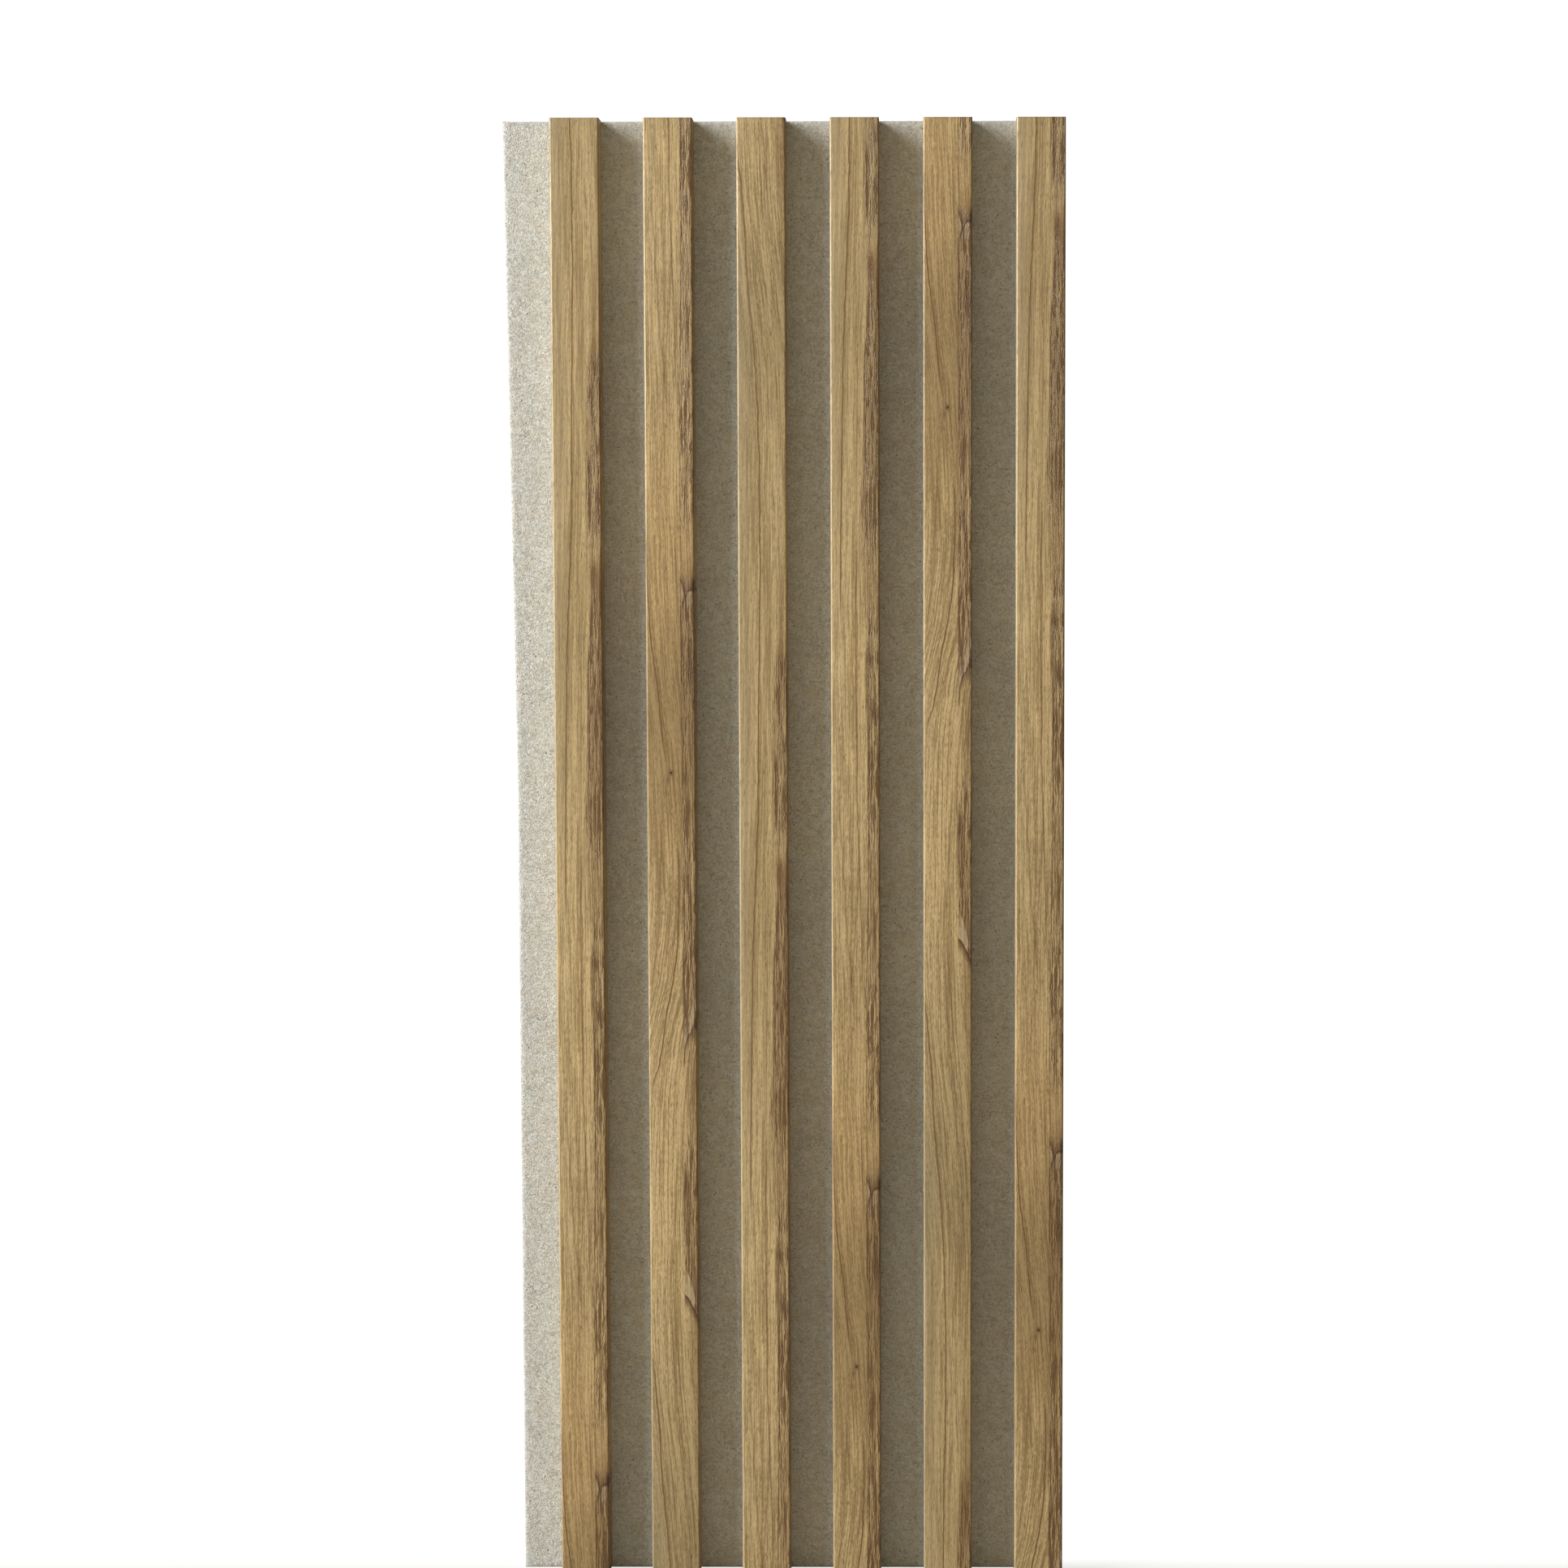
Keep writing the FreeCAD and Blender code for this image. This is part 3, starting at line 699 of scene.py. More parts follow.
def board_finish(settings):
    """Fibreboard: short felted wood fibres, denser and darker next to its two faces."""
    finish = Finish("fibreboard")
    x, y, z = finish.millimetres(finish.place_on_object())
    middle = (FIRST_FOIL[0].y + FIRST_FOIL[1].y) / 2 / MM
    depth = abs(y - middle) / (SLAT_DEPTH / 2 / MM)
    fibres = finish.noise(finish.vector(x * 0.9, y * 3.4, z * 0.9), 1.4, 4.0, 0.7)
    flecks = finish.noise(finish.vector(x * 1.6, y * 2.2, z * 1.6), 2.6, 2.0, 0.6)
    tone = (fibres - 0.5) * 2.4 + (flecks - 0.5) * 1.2 + 0.62 - depth.step(0.55, 1.0) * 0.45
    colour = finish.mix(tone.step(0.0, 1.0), settings.dark, settings.colour)
    normal = finish.bump(fibres + flecks * 0.5, 0.18 * MM, 0.7)
    return finish.surface(colour, 0.86, normal, Specular_IOR_Level=0.25)


def staple_finish(settings):
    """Galvanised wire: drawn lines along it and a dulled zinc bloom."""
    finish = Finish("staple_wire")
    x, y, z = finish.millimetres(finish.place_on_object())
    drawn = finish.noise(finish.vector(x * 0.25, y * 0.25, z * 9.0), 1.6, 3.0)
    bloom = finish.noise(finish.vector(x, y, z), 0.9, 3.0, 0.6)
    colour = finish.mix(bloom.step(0.35, 0.75) * 0.5, settings.colour, (0.38, 0.39, 0.40))
    normal = finish.bump(drawn, 0.05 * MM, 0.5)
    roughness = settings.roughness + (bloom - 0.5) * 0.3
    return finish.surface(colour, roughness, normal, Metallic=1.0)


def floor_finish(settings):
    """A plain pale floor that turns to the white of the studio behind the panel and far from it."""
    finish = Finish("studio_floor")
    place = finish.place_on_object()
    x, y, _ = finish.split(place)
    seen = finish.node("ShaderNodeLightPath", None, None, "Is Camera Ray")
    grain = finish.noise(place, 60.0, 3.0)
    colour = finish.mix(seen, settings.floor_bounce, settings.floor_colour)
    colour = finish.shade(colour, 0.985 + grain * 0.03)
    far = (x * x + y * y) ** 0.5
    white = (y.step(-0.06, 0.02) + far.step(0.5, 1.7)).at_most(1.0) * seen
    shader = finish.node("ShaderNodeBsdfPrincipled", None,
                         {"Base Color": colour, "Roughness": 0.8, "Specular IOR Level": 0.2})
    glow = finish.node("ShaderNodeEmission", None, {"Color": (1, 1, 1, 1), "Strength": WHITE_GLOW})
    mixed = finish.node("ShaderNodeMixShader", None, {0: white, 1: shader, 2: glow})
    finish.link_output(mixed)
    return finish.material


# Meshes

# Straight steps in each rounded corner of a slat's section
CORNER_STEPS = 9


def new_object(name, data):
    made = bpy.data.objects.new(name, data)
    bpy.context.scene.collection.objects.link(made)
    return made


def mesh_from(name, vertices, faces):
    mesh = bpy.data.meshes.new(name)
    mesh.from_pydata([tuple(v) for v in vertices], [], [tuple(f) for f in faces])
    mesh.validate()
    mesh.update()
    return mesh


def smooth_except_sharp(mesh, degrees):
    mesh.polygons.foreach_set("use_smooth", np.ones(len(mesh.polygons), bool))
    mesh.set_sharp_from_angle(angle=math.radians(degrees))


class Tree(Graph):
    """A geometry node tree with named inputs."""

    def __init__(self, name, inputs):
        super().__init__(bpy.data.node_groups.new(name, "GeometryNodeTree"))
        face = self.tree.interface
        face.new_socket("Geometry", in_out="INPUT", socket_type="NodeSocketGeometry")
        for label, kind, default in inputs:
            socket = face.new_socket(label, in_out="INPUT", socket_type=f"NodeSocket{kind}")
            if default is not None:
                socket.default_value = default
        face.new_socket("Geometry", in_out="OUTPUT", socket_type="NodeSocketGeometry")
        self.inputs = self.tree.nodes.new("NodeGroupInput")

    def given(self, *labels):
        """The tree's own input of that name, or several."""
        terms = [Term(self, self.inputs.outputs[label]) for label in labels]
        return terms if len(terms) > 1 else terms[0]

    def finish(self, geometry):
        """Make the geometry real, give it the material and end the tree."""
        real = self.node("GeometryNodeRealizeInstances", None, {"Geometry": geometry})
        dressed = self.node("GeometryNodeSetMaterial", None,
                            {"Geometry": real, "Material": self.given("Material")})
        self.feed(self.tree.nodes.new("NodeGroupOutput"), {"Geometry": dressed})
        return self

    def baked(self, name, values, base=None):
        """A plain mesh object made by the tree with these values for its inputs."""
        holder = new_object(name, base or bpy.data.meshes.new(name + "_base"))
        modifier = holder.modifiers.new("Build", "NODES")
        modifier.node_group = self.tree
        for item in self.tree.interface.items_tree:
            if item.in_out == "INPUT" and item.name in values:
                modifier[item.identifier] = values[item.name]
        bpy.context.view_layer.update()
        evaluated = holder.evaluated_get(bpy.context.evaluated_depsgraph_get())
        mesh = bpy.data.meshes.new_from_object(evaluated)
        holder.modifiers.remove(modifier)
        holder.data = mesh
        mesh.name = name
        return holder


def wrap_tree():
    """The foil round one slat: a thin, long strip swept round the section's path."""
    tree = Tree("foil_wrap", (
        ("Width", "Float", 0.0264), ("Depth", "Float", 0.0166), ("Length", "Float", 0.795),
        ("Thickness", "Float", 0.0003), ("Front Radius", "Float", 0.0011),
        ("Back Radius", "Float", 0.0008), ("Lap", "Float", 0.004),
        ("Centre X", "Float", 0.0), ("Centre Y", "Float", 0.0), ("Centre Z", "Float", 0.0),
        ("Decor Offset", "Float", 0.0), ("Material", "Material", None)))
    width, depth, length = tree.given("Width", "Depth", "Length")
    centre = tree.given("Centre X", "Centre Y", "Centre Z")
    half_foil = tree.given("Thickness") * 0.5
    half_width, half_depth = width * 0.5 - half_foil, depth * 0.5 - half_foil
    lap_end = width * 0.5 - tree.given("Lap")
    left, front = -half_width, -half_depth

    # the path: from lap to lap round the front, its back corners 1 and 4 and its front corners 2 and 3
    corners = ((-lap_end, half_depth), (left, half_depth), (left, front),
               (half_width, front), (half_width, half_depth), (lap_end, half_depth))
    index = tree.node("GeometryNodeInputIndex")
    corner = tree.tree.nodes.new("GeometryNodeIndexSwitch")
    corner.data_type = "VECTOR"
    while len(corner.index_switch_items) < len(corners):
        corner.index_switch_items.new()
    places = {str(number): tree.vector(x, y) for number, (x, y) in enumerate(corners)}
    tree.feed(corner, {"Index": index, **places})
    points = tree.node("GeometryNodeMeshLine", None, {"Count": len(corners)})
    points = tree.node("GeometryNodeSetPosition", None,
                       {"Geometry": points, "Position": Term(tree, corner.outputs[0])})
    path = tree.node("GeometryNodeMeshToCurve", None, {"Mesh": points})
    is_front = tree.node("FunctionNodeCompare", {"data_type": "INT", "operation": "EQUAL"},
                         {2: (index / 2.0).whole(), 3: 1})
    radius = tree.node("GeometryNodeSwitch", {"input_type": "FLOAT"}, {
        "Switch": is_front, "False": tree.given("Back Radius") - half_foil,
        "True": tree.given("Front Radius") - half_foil})
    path = tree.node("GeometryNodeFilletCurve", {"mode": "POLY"},
                     {"Curve": path, "Count": CORNER_STEPS, "Radius": radius})
    path = tree.node("GeometryNodeSetCurveNormal", {"mode": "Z_UP"}, {"Curve": path})

    # the sweep, which carries how far round the path it has come
    capture = tree.tree.nodes.new("GeometryNodeCaptureAttribute")
    capture.capture_items.new("FLOAT", "So Far")
    so_far = tree.node("GeometryNodeSplineParameter", None, None, "Length")
    tree.feed(capture, {"Geometry": path, "So Far": so_far})
    total = tree.node("GeometryNodeCurveLength", None, {"Curve": path})
    strip = tree.node("GeometryNodeCurvePrimitiveQuadrilateral", {"mode": "RECTANGLE"},
                      {"Width": tree.given("Thickness"), "Height": length})
    foil = tree.node("GeometryNodeCurveToMesh", None,
                     {"Curve": Term(tree, capture.outputs["Geometry"]), "Profile Curve": strip,
                      "Fill Caps": True})
    foil = tree.node("GeometryNodeTransform", None,
                     {"Geometry": foil, "Translation": tree.vector(*centre)})

    # the decor's places: across from the slat's left edge, along from where its top end was cut
    height = tree.split(tree.node("GeometryNodeInputPosition"))[2]
    along = centre[2] + length * 0.5 - height + tree.given("Decor Offset")
    across = width * 0.5 + (Term(tree, capture.outputs["So Far"]) - total * 0.5)
    foil = tree.node("GeometryNodeStoreNamedAttribute", {"data_type": "FLOAT2", "domain": "CORNER"},
                     {"Geometry": foil, "Name": "decor", "Value": tree.vector(across, along)})
    return tree.finish(foil)


def fibre_tree():
    """Loose curled fibres strewn over the felt's visible faces."""
    tree = Tree("loose_fibres", (
        ("Count per Area", "Float", 1.0), ("Length", "Float", 0.005), ("Radius", "Float", 0.00004),
        ("Seed", "Int", 1), ("Material", "Material", None)))
    scatter = tree.tree.nodes.new("GeometryNodeDistributePointsOnFaces")
    scatter.distribute_method = "RANDOM"
    tree.feed(scatter, {"Mesh": tree.given("Geometry"), "Density": tree.given("Count per Area"),
                        "Seed": tree.given("Seed")})
    length = tree.given("Length")
    arc = tree.node("GeometryNodeCurveQuadraticBezier", None, {
        "Resolution": 5,
        "Start": tree.vector(length * -0.45, 0.0, length * -0.02),
        "Middle": tree.vector(0.0, length * 0.42, length * 0.17),
        "End": tree.vector(length * 0.45, 0.0, 0.0)})
    thread = tree.node("GeometryNodeCurvePrimitiveCircle", {"mode": "RADIUS"},
                       {"Resolution": 3, "Radius": tree.given("Radius")})
    fibre = tree.node("GeometryNodeCurveToMesh", None,
                      {"Curve": arc, "Profile Curve": thread, "Fill Caps": True})
    spin = tree.node("FunctionNodeRandomValue", {"data_type": "FLOAT_VECTOR"},
                     {0: (-0.25, -0.25, 0.0), 1: (0.25, 0.25, 6.283), "Seed": 11})
    turned = tree.node("FunctionNodeRotateRotation", {"rotation_space": "LOCAL"},
                       {0: Term(tree, scatter.outputs["Rotation"]),
                        1: tree.node("FunctionNodeEulerToRotation", None, {0: spin})})
    size = tree.node("FunctionNodeRandomValue", {"data_type": "FLOAT"},
                     {2: 0.35, 3: 1.0, "Seed": 23}, 1)
    strewn = tree.node("GeometryNodeInstanceOnPoints", None, {
        "Points": Term(tree, scatter.outputs["Points"]), "Instance": fibre, "Rotation": turned,
        "Scale": size})
    return tree.finish(strewn)


# Shares of the edge radius at which the felt's rounded front edge has points
ROUNDING = (0.0, 0.12, 0.32, 0.62, 1.0)
# How the left cut edge wanders: the number of its bends, and how far in millimetres
EDGE_WANDER = ((60, 0.07), (300, 0.04))
# The needled relief's layers: height and width of a cell in millimetres, and share. The cells of a
# layer are counted over the field.
RELIEF_LAYERS = ((4.2, 4.0, 0.5), (2.2, 2.4, 0.6), (14, 15, 0.25))
RELIEF_FIELD = (797, 300)
RELIEF_LIMIT = 2.2
# How far in from an edge the wander reaches, and where the relief is in full
WANDER_REACH, RELIEF_START = 6 * MM, 0.6 * MM
# How far the felt swells between the slats, and how far from a slat it has risen
SWELL, RISE = 0.10 * MM, 1.6 * MM
# Points down the cut edges: share of the thickness, and how far in they lie in millimetres
SIDE_LAYERS = ((0.35, 0.05), (0.7, 0.03), (0.96, 0.06))
BACK_INSET = 0.25
# Points farther out than this share of half the felt belong to a cut edge
NEAR_EDGE = 0.985
# The dimple behind a staple: its crown and wire, how the dimple sinks, and its rings of points,
# all in millimetres
CROWN_HALF, WIRE_HALF = 5.0, 0.5
DIMPLE_START, DIMPLE_SLOPE, DIMPLE_DEPTH = 0.25, 2.2, 1.66
DIMPLE_RINGS = (0.25, 0.75, 1.5, 2.6)
# The coarse points of the back: how far apart, across and up, and how clear of a staple's middle
BACK_CELL, STAPLE_CLEAR = (9 * MM, 12 * MM), (9 * MM, 5 * MM)


def slat_left(number):
    return FIRST_FOIL[0].x + (number - 1) * SLAT_PITCH


def felt_outline():
    """The left edge of the felt at a height, read from the CAD sheet's own corners."""
    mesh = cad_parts["felt_backing"].data
    points = np.array([v.co for v in mesh.vertices])
    back = points[points[:, 1] > -0.1 * MM]
    left = back[back[:, 0] < FIRST_FOIL[0].x - 5 * MM]
    order = left[np.argsort(left[:, 2])]
    return order[:, 2], order[:, 0]


def soft_noise(rng, shape, cells):
    """Smooth random values about 0, one grid of random numbers stretched over the shape."""
    rows, columns = max(2, cells[0]), max(2, cells[1])
    coarse = rng.normal(0.0, 1.0, (rows + 3, columns + 3))
    r = np.linspace(0, rows, shape[0])[:, None]
    c = np.linspace(0, columns, shape[1])[None, :]
    r0, c0 = r.astype(int), c.astype(int)
    fr, fc = smooth(r - r0), smooth(c - c0)
    top = coarse[r0, c0] * (1 - fc) + coarse[r0, c0 + 1] * fc
    low = coarse[r0 + 1, c0] * (1 - fc) + coarse[r0 + 1, c0 + 1] * fc
    return top * (1 - fr) + low * fr


def smooth(t):
    """A rise from 0 to 1 that starts and ends level."""
    return t * t * (3 - 2 * t)


def column_places(settings):
    """Places across the felt: close where it shows, wide under the slats. The flap runs from 0 to 1."""
    radius = settings.edge_radius
    rounding = [radius * share for share in ROUNDING[:-1]]
    flap_width = FIRST_FOIL[0].x - FELT_BOX[0].x
    inner = max(4, round((flap_width - radius) / settings.cell))
    flap = rounding + list(np.linspace(radius, flap_width, inner + 1))
    flap = [value / flap_width for value in flap]
    field = []
    for number in SLATS:
        left = slat_left(number)
        right = left + SLAT_WIDTH
        last = number == len(SLATS)
        end = right - radius if last else right
        field += list(np.linspace(left, end, 6))[1:]
        if last:
            field += [right - value for value in reversed(rounding)]
        else:
            steps = round((SLAT_PITCH - SLAT_WIDTH) / settings.cell)
            field += list(np.linspace(right, right + SLAT_PITCH - SLAT_WIDTH, steps + 1))[1:]
    return flap, field


def felt_front(settings):
    """Points of the felt's front, row by row from the bottom: needled relief where it shows, pressed
    flat under the slats, with soft edges."""
    rng = np.random.default_rng(settings.seed)
    radius = settings.edge_radius
    low, high = FELT_BOX[0].z, FELT_BOX[1].z
    steps = round((high - low - 2 * radius) / settings.cell)
    rounding = [radius * share for share in ROUNDING[:-1]]
    rows = np.array([low + v for v in rounding]
                    + list(np.linspace(low + radius, high - radius, steps + 1))
                    + [high - v for v in reversed(rounding)])
    flap, field = column_places(settings)
    left = np.interp(rows, *felt_outline())
    flap_part = left[:, None] + (FIRST_FOIL[0].x - left)[:, None] * np.array(flap)[None, :]
    x = np.concatenate([flap_part, np.tile(np.array(field), (len(rows), 1))], axis=1)
    z = np.tile(rows[:, None], (1, x.shape[1]))

    wander = sum(soft_noise(rng, (len(rows), 1), (bends, 2)) * far * MM for bends, far in EDGE_WANDER)
    near_left = np.clip(1 - (x - left[:, None]) / WANDER_REACH, 0, 1)
    x = x + near_left * np.abs(wander)

    to_edge = np.minimum.reduce([x - x[:, :1], x[:, -1:] - x, z - low, high - z])
    inside = np.clip(to_edge / radius, 0, 1)
    fall = radius * (1 - np.sqrt(np.clip(1 - (1 - inside) ** 2, 0, 1)))
    from_slat = np.full(x.shape, 1.0)
    for number in SLATS:
        start = slat_left(number)
        outside = np.maximum(start - x, x - (start + SLAT_WIDTH))
        from_slat = np.minimum(from_slat, np.clip(outside / RISE, 0, 1))
    relief = sum(soft_noise(rng, x.shape, (round(RELIEF_FIELD[0] / tall), round(RELIEF_FIELD[1] / wide)))
                 * share for tall, wide, share in RELIEF_LAYERS)
    relief = (np.clip(relief, -RELIEF_LIMIT, RELIEF_LIMIT) * settings.relief * from_slat
              * np.clip(to_edge / RELIEF_START, 0, 1))
    return np.stack([x, FELT_FRONT + fall - relief - from_slat * SWELL * inside, z], -1)


def felt_mesh(settings):
    """The felt as a closed sheet: its front, its cut edges and a back with a dimple at each staple."""
    front = felt_front(settings)
    vertices = front.reshape(-1, 3)
    grid = np.arange(len(vertices)).reshape(front.shape[:2])
    quads = np.stack([grid[:-1, :-1], grid[:-1, 1:], grid[1:, 1:], grid[1:, :-1]], -1)
    faces = [tuple(q) for q in quads.reshape(-1, 4)]

    # the cut edges, from the front's outline, anticlockwise as seen from the front
    outline = np.concatenate([grid[0, :-1], grid[:-1, -1], grid[-1, :0:-1], grid[:0:-1, 0]])
    ring = vertices[outline]
    middle = np.array([(FELT_BOX[0].x + FELT_BOX[1].x) / 2, 0, (FELT_BOX[0].z + FELT_BOX[1].z) / 2])
    half = np.array([(FELT_BOX[1].x - FELT_BOX[0].x) / 2, 1, (FELT_BOX[1].z - FELT_BOX[0].z) / 2])

    def drawn_in(points, inset):
        out = (points - middle) * (1, 0, 1)
        return points - np.sign(out) * (np.abs(out) > half * NEAR_EDGE) * inset * MM

    layers, vertices = [outline], list(vertices)
    for share, inset in SIDE_LAYERS:
        level = drawn_in(ring, inset)
        level[:, 1] = ring[:, 1] * (1 - share)
        layers.append(np.arange(len(vertices), len(vertices) + len(level)))
        vertices += [tuple(v) for v in level]
    back_ring = drawn_in(level, BACK_INSET)
    back_ring[:, 1] = 0.0
    layers.append(np.arange(len(vertices), len(vertices) + len(level)))
    vertices += [tuple(v) for v in back_ring]
    for one, other in zip(layers, layers[1:]):
        bands = np.stack([one, other, np.roll(other, -1), np.roll(one, -1)], -1)
        faces += [tuple(f) for f in bands]

    add_felt_back(vertices, faces, layers[-1])
    mesh = mesh_from("felt_sheet", vertices, faces)
    smooth_except_sharp(mesh, 70)
    return mesh


def add_felt_back(vertices, faces, outline):
    """Close the felt behind with coarse faces, finer round the dimples, inside the outline."""
    staples = staple_places()
    placed = [(vertices[i][0], vertices[i][2]) for i in outline]
    count = len(placed)
    placed += back_points(staples) + dimple_points(staples)
    points, _, triangles, origins, _, _ = delaunay_2d_cdt(
        [Vector(p) for p in placed], [(i, (i + 1) % count) for i in range(count)], [], 1, 1e-7)
    numbers = []
    for point, source in zip(points, origins):
        from_outline = [i for i in source if i < count]
        if from_outline:
            numbers.append(int(outline[from_outline[0]]))
        else:
            numbers.append(len(vertices))
            vertices.append((point.x, -dimple_depth(point.x, point.y, staples), point.y))
    faces += [tuple(numbers[i] for i in reversed(t)) for t in triangles]


def staple_places():
    """The middle of each staple's crown, across and up."""
    places = []
    for number in SLATS:
        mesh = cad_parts[f"slat_{number}_staples"].data
        heights = np.unique(np.round([v.co.z for v in mesh.vertices], 3))
        middle = FIRST_FOIL[0].x + SLAT_WIDTH / 2 + (number - 1) * SLAT_PITCH
        places += [(middle, height) for height in group_middles(heights)]
    return places


def group_middles(heights):
    """The middles of groups of nearby heights."""
    groups = []
    for height in sorted(heights):
        if groups and height - groups[-1][-1] < 5 * MM:
            groups[-1].append(height)
        else:
            groups.append([height])
    return [(group[0] + group[-1]) / 2 for group in groups]


def back_points(staples):
    """Coarse points over the felt's back, clear of its outline and of the dimples."""
    outline = felt_outline()
    points = []
    for x in np.arange(FELT_BOX[0].x + 6 * MM, FELT_BOX[1].x - 2 * MM, BACK_CELL[0]):
        for z in np.arange(FELT_BOX[0].z + 5 * MM, FELT_BOX[1].z - 3 * MM, BACK_CELL[1]):
            inside_left = x - np.interp(z, *outline) > 3 * MM
            clear = all(abs(x - cx) > STAPLE_CLEAR[0] or abs(z - cz) > STAPLE_CLEAR[1]
                        for cx, cz in staples)
            if inside_left and clear:
                points.append((x, z))
    return points


def dimple_points(staples):
    """Rings of points round each staple's dimple."""
    points = []
    for cx, cz in staples:
        for grow in DIMPLE_RINGS:
            wide, tall = CROWN_HALF * MM + grow * MM, (WIRE_HALF + grow) * MM
            for t in np.linspace(-1, 1, 7):
                points += [(cx + wide * t, cz - tall), (cx + wide * t, cz + tall)]
            points += [(cx - wide - 0.2 * MM, cz), (cx + wide + 0.2 * MM, cz)]
    return points


def dimple_depth(x, z, staples):
    """How deep the felt's back is pressed in at a place."""
    sunk = 0.0
    for cx, cz in staples:
        past_crown, past_wire = abs(x - cx) - CROWN_HALF * MM, abs(z - cz) - WIRE_HALF * MM
        gap = math.hypot(max(past_crown, 0), max(past_wire, 0))
        t = 1 - min(1.0, max(0.0, (gap - DIMPLE_START * MM) / (DIMPLE_SLOPE * MM)))
        sunk = max(sunk, smooth(t) * DIMPLE_DEPTH * MM)
    return sunk


# Operators

class SLATPANEL_OT_foil(bpy.types.Operator):
    """Wrap every slat in its decor foil"""
    bl_idname = "slatpanel.foil"
    bl_label = "Slat Foil"

    def execute(self, context):
        settings = context.scene.slat_panel_slats
        finish = decor_finish(settings)
        tree = wrap_tree()
        for number, offset in zip(SLATS, DECOR_OFFSETS):
            node = f"slat_{number}_foil"
            low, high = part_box(node)
            wrap = tree.baked(f"slat_{number}_wrap", {
                "Width": high.x - low.x, "Depth": high.y - low.y, "Length": high.z - low.z,
                "Thickness": settings.foil_thickness, "Front Radius": settings.front_radius,
                "Back Radius": settings.back_radius, "Lap": settings.lap,
                "Centre X": (low.x + high.x) / 2, "Centre Y": (low.y + high.y) / 2,
                "Centre Z": (low.z + high.z) / 2, "Decor Offset": offset * MM,
                "Material": finish})
            smooth_except_sharp(wrap.data, 40)
            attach(wrap, "root")
            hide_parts(node)
        return {"FINISHED"}


class SLATPANEL_OT_boards(bpy.types.Operator):
    """Finish the fibreboard bars inside the slats"""
    bl_idname = "slatpanel.boards"
    bl_label = "Fibreboard"

    def execute(self, context):
        finish = board_finish(context.scene.slat_panel_boards)
        for number in SLATS:
            dress(f"slat_{number}_core", finish)
        return {"FINISHED"}


class SLATPANEL_OT_staples(bpy.types.Operator):
    """Finish the staples behind the felt"""
    bl_idname = "slatpanel.staples"
    bl_label = "Staples"

    def execute(self, context):
        finish = staple_finish(context.scene.slat_panel_staples)
        for number in SLATS:
            dress(f"slat_{number}_staples", finish)
        return {"FINISHED"}


class SLATPANEL_OT_felt(bpy.types.Operator):
    """Make the felt sheet with its needled face, and the loose fibres on it"""
    bl_idname = "slatpanel.felt"
    bl_label = "Felt"

    def execute(self, context):
        settings = context.scene.slat_panel_felt
        felt = new_object("felt_sheet", felt_mesh(settings))
        felt.data.materials.append(felt_finish(settings))
        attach(felt, "root")
        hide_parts("felt_backing")

        base = visible_felt(felt.data)
        area = sum(face.area for face in base.polygons)
        fibres = fibre_tree().baked("felt_fibres", {
            "Count per Area": settings.fibres / area, "Length": settings.fibre_length,
            "Radius": settings.fibre_radius, "Seed": settings.seed,
            "Material": fibre_finish(settings)}, base)
        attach(fibres, "root")
        return {"FINISHED"}


class SLATPANEL_OT_stage(bpy.types.Operator):
    """Set up the floor, the studio light and the camera"""
    bl_idname = "slatpanel.stage"
    bl_label = "Studio"

    def execute(self, context):
        settings = context.scene.slat_panel_stage
        make_floor(settings)
        make_light(settings)
        make_world(settings)
        make_camera(settings)
        context.scene.view_settings.view_transform = "Standard"
        return {"FINISHED"}


def dress(node, finish):
    """Give a CAD node its material."""
    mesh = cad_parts[node].data
    mesh.materials.clear()
    mesh.materials.append(finish)


def visible_felt(mesh):
    """The felt's faces that show in front and at its cut edges, as a mesh for the fibres to stand on."""
    vertices = [tuple(v.co) for v in mesh.vertices]
    faces = []
    for face in mesh.polygons:
        centre = face.center
        behind_slat = any(-0.5 * MM < centre.x - slat_left(n) < SLAT_WIDTH + 0.5 * MM for n in SLATS)
        back = face.normal.y > 0.5
        low_side = centre.y > -2.5 * MM
        if not (back or low_side or behind_slat and face.normal.y < -0.5):
            faces.append(tuple(face.vertices))
    return mesh_from("felt_fibres_base", vertices, faces)


# The stage, in metres: the floor's corners, the key light's size, place and aim, and how brightly the
# white behind the panel glows
FLOOR_CORNERS = ((-9, -6), (9, 12))
KEY_SIZE = (1.5, 2.2)
KEY_PLACE, KEY_AIM = (-2.6, -1.25, 1.25), (0, 0, 0.05)
KEY_COLOUR, FILL_COLOUR = (1.0, 0.985, 0.97), (1.0, 0.815, 0.575, 1.0)
WHITE_GLOW = 1.06

# The photograph's camera: its place in metres, its turns in radians, the side of its sensor in
# millimetres, and how far the photograph's middle lies from the lens's axis, in pixels
CAMERA_PLACE = (0.05927, -1.84759, 0.18211)
CAMERA_TILT, CAMERA_ROLL, CAMERA_TURN = 0.0778, -0.0007, -0.0068
SENSOR_SIDE = 36.0
FRAME_SHIFT = -137.755


def make_floor(settings):
    floor_z = FELT_BOX[0].z
    (left, front), (right, back) = FLOOR_CORNERS
    corners = [(x, y, floor_z) for x, y in ((left, front), (right, front), (right, back), (left, back))]
    floor = new_object("studio_floor", mesh_from("studio_floor", corners, [(0, 1, 2, 3)]))
    floor.data.materials.append(floor_finish(settings))


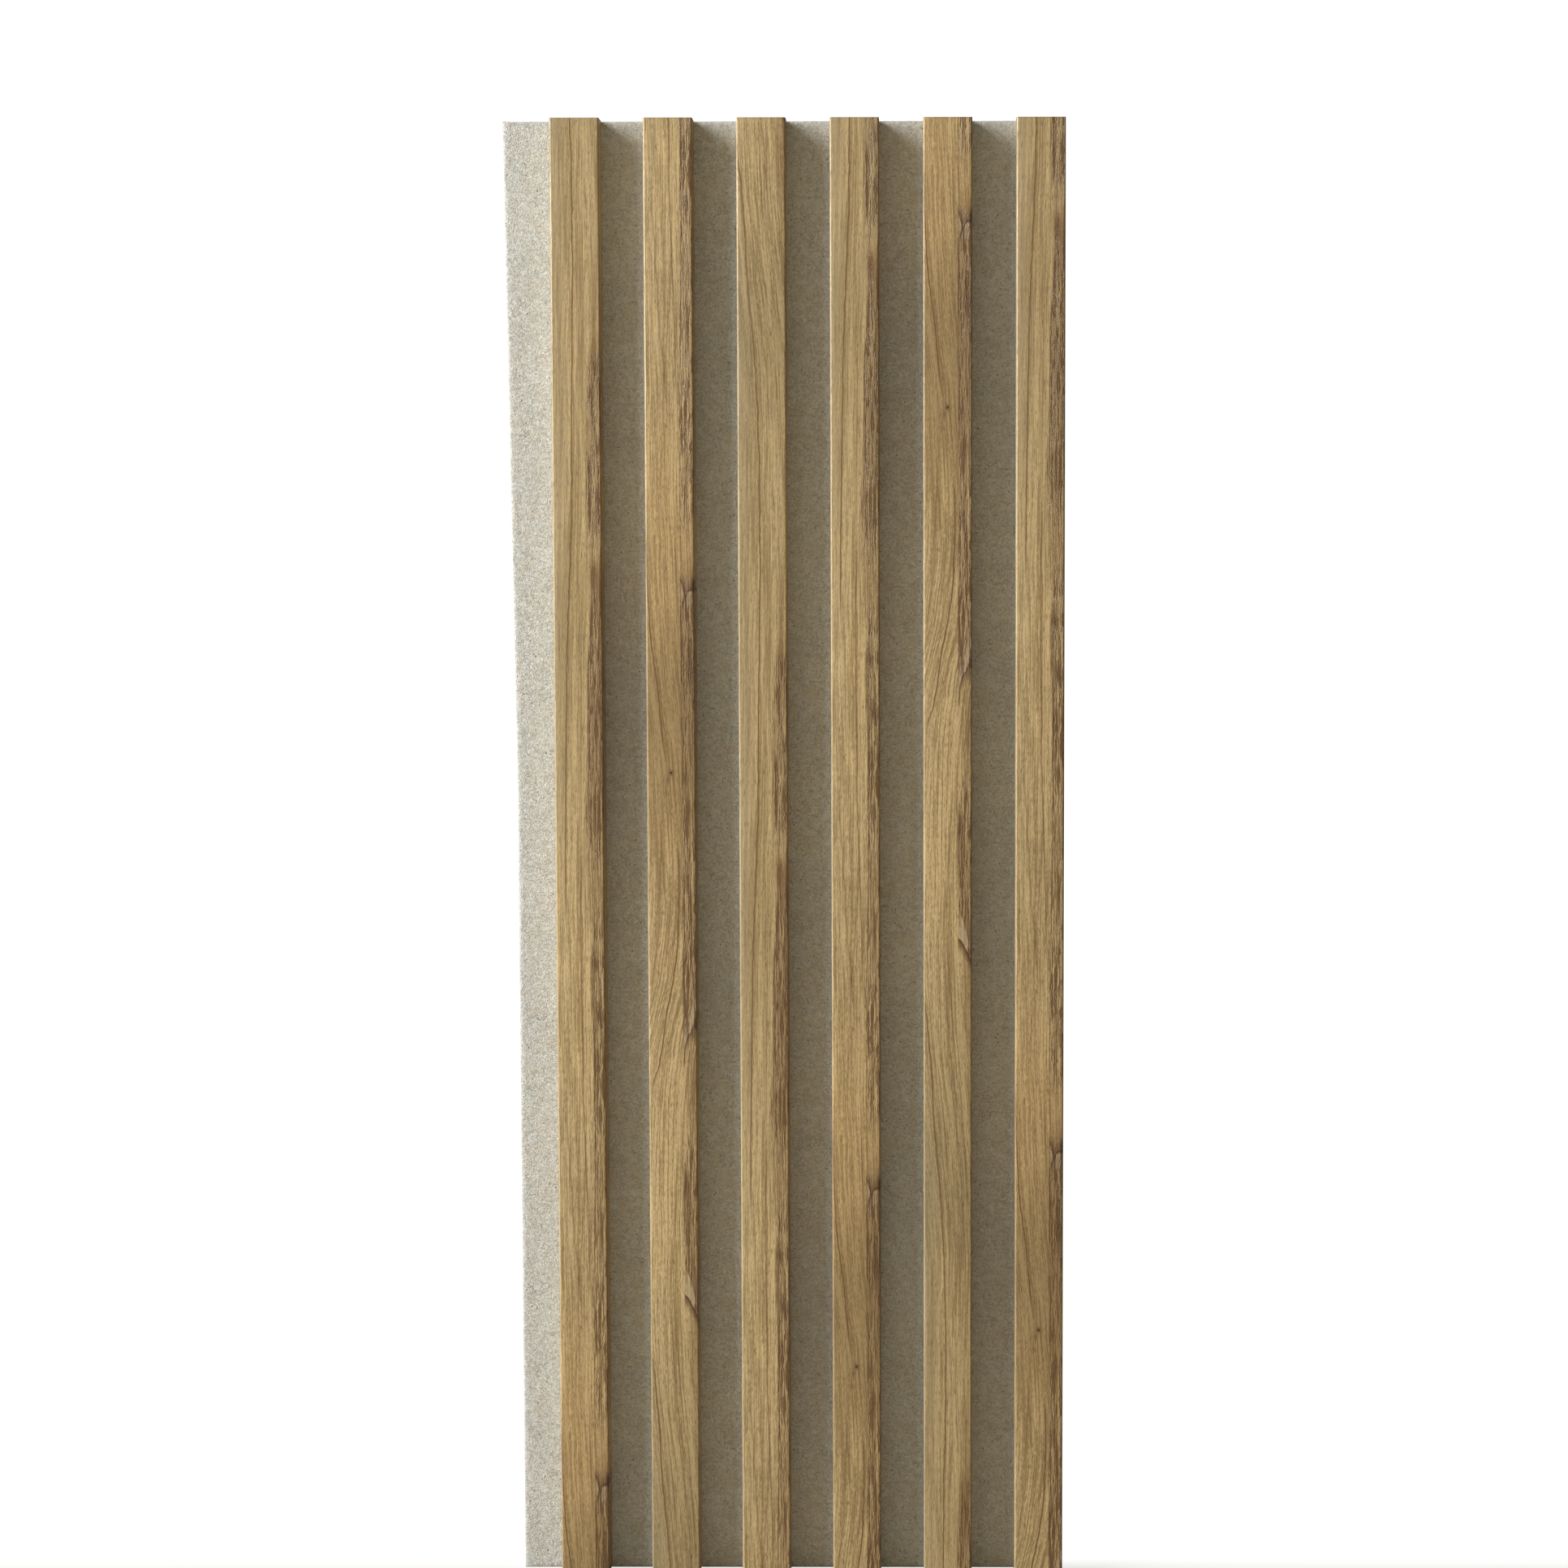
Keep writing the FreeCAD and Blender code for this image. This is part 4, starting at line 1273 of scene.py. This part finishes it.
def make_light(settings):
    """The large soft light at the left."""
    key = bpy.data.lights.new("key", "AREA")
    key.shape = "RECTANGLE"
    key.size, key.size_y = KEY_SIZE
    key.energy = settings.key_power
    key.color = KEY_COLOUR
    lamp = new_object("key_light", key)
    lamp.location = KEY_PLACE
    lamp.rotation_euler = (Vector(KEY_AIM) - Vector(KEY_PLACE)).to_track_quat("-Z", "Y").to_euler()


def make_world(settings):
    """White where the camera sees past the panel, and a soft dim studio for the light itself."""
    world = bpy.data.worlds.new("studio")
    world.use_nodes = True
    nodes, links = world.node_tree.nodes, world.node_tree.links
    nodes.clear()
    seen = nodes.new("ShaderNodeLightPath")
    soft, white = nodes.new("ShaderNodeBackground"), nodes.new("ShaderNodeBackground")
    soft.inputs["Color"].default_value = FILL_COLOUR
    soft.inputs["Strength"].default_value = settings.fill
    white.inputs["Color"].default_value = (1, 1, 1, 1)
    white.inputs["Strength"].default_value = WHITE_GLOW
    mixed, output = nodes.new("ShaderNodeMixShader"), nodes.new("ShaderNodeOutputWorld")
    links.new(seen.outputs["Is Camera Ray"], mixed.inputs[0])
    links.new(soft.outputs[0], mixed.inputs[1])
    links.new(white.outputs[0], mixed.inputs[2])
    links.new(mixed.outputs[0], output.inputs["Surface"])
    bpy.context.scene.world = world


def make_camera(settings):
    """The photograph's camera: a long lens from the right of the middle, looking slightly down."""
    camera = bpy.data.cameras.new("photo_camera")
    camera.sensor_width = SENSOR_SIDE
    camera.lens = settings.lens
    camera.shift_x = FRAME_SHIFT / PHOTO_SIDE
    camera.clip_start, camera.clip_end = 0.05, 60.0
    world_to_camera = (Matrix.Rotation(CAMERA_TURN, 3, "Z") @ Matrix.Rotation(CAMERA_ROLL, 3, "Y")
                       @ Matrix.Rotation(CAMERA_TILT, 3, "X"))
    right, forward, up = world_to_camera.row
    seat = Matrix((right, up, -forward)).transposed().to_4x4()
    seat.translation = CAMERA_PLACE
    holder = new_object("photo_camera", camera)
    holder.matrix_world = seat
    bpy.context.scene.camera = holder


class SLATPANEL_PT_sidebar(bpy.types.Panel):
    """Lists the panel's pieces and the studio"""
    bl_idname = "SLATPANEL_PT_sidebar"
    bl_label = "Slat Wall Panel"
    bl_space_type = "VIEW_3D"
    bl_region_type = "UI"
    bl_category = "Slat Panel"

    def draw(self, context):
        for operator in OPERATORS:
            self.layout.operator(operator.bl_idname)


OPERATORS = (SLATPANEL_OT_foil, SLATPANEL_OT_boards, SLATPANEL_OT_staples, SLATPANEL_OT_felt,
             SLATPANEL_OT_stage)
GROUPS = {"slat_panel_slats": SlatSettings, "slat_panel_felt": FeltSettings,
          "slat_panel_boards": BoardSettings, "slat_panel_staples": StapleSettings,
          "slat_panel_stage": StageSettings}


def register():
    for name, group in GROUPS.items():
        bpy.utils.register_class(group)
        setattr(bpy.types.Scene, name, PointerProperty(type=group))
    for item in (*OPERATORS, SLATPANEL_PT_sidebar):
        bpy.utils.register_class(item)


def unregister():
    for item in reversed((*OPERATORS, SLATPANEL_PT_sidebar)):
        bpy.utils.unregister_class(item)
    for name, group in GROUPS.items():
        delattr(bpy.types.Scene, name)
        bpy.utils.unregister_class(group)


def main():
    register()
    for operator in OPERATORS:
        group, name = operator.bl_idname.split(".")
        getattr(getattr(bpy.ops, group), name)()


if __name__ == "__main__":
    main()
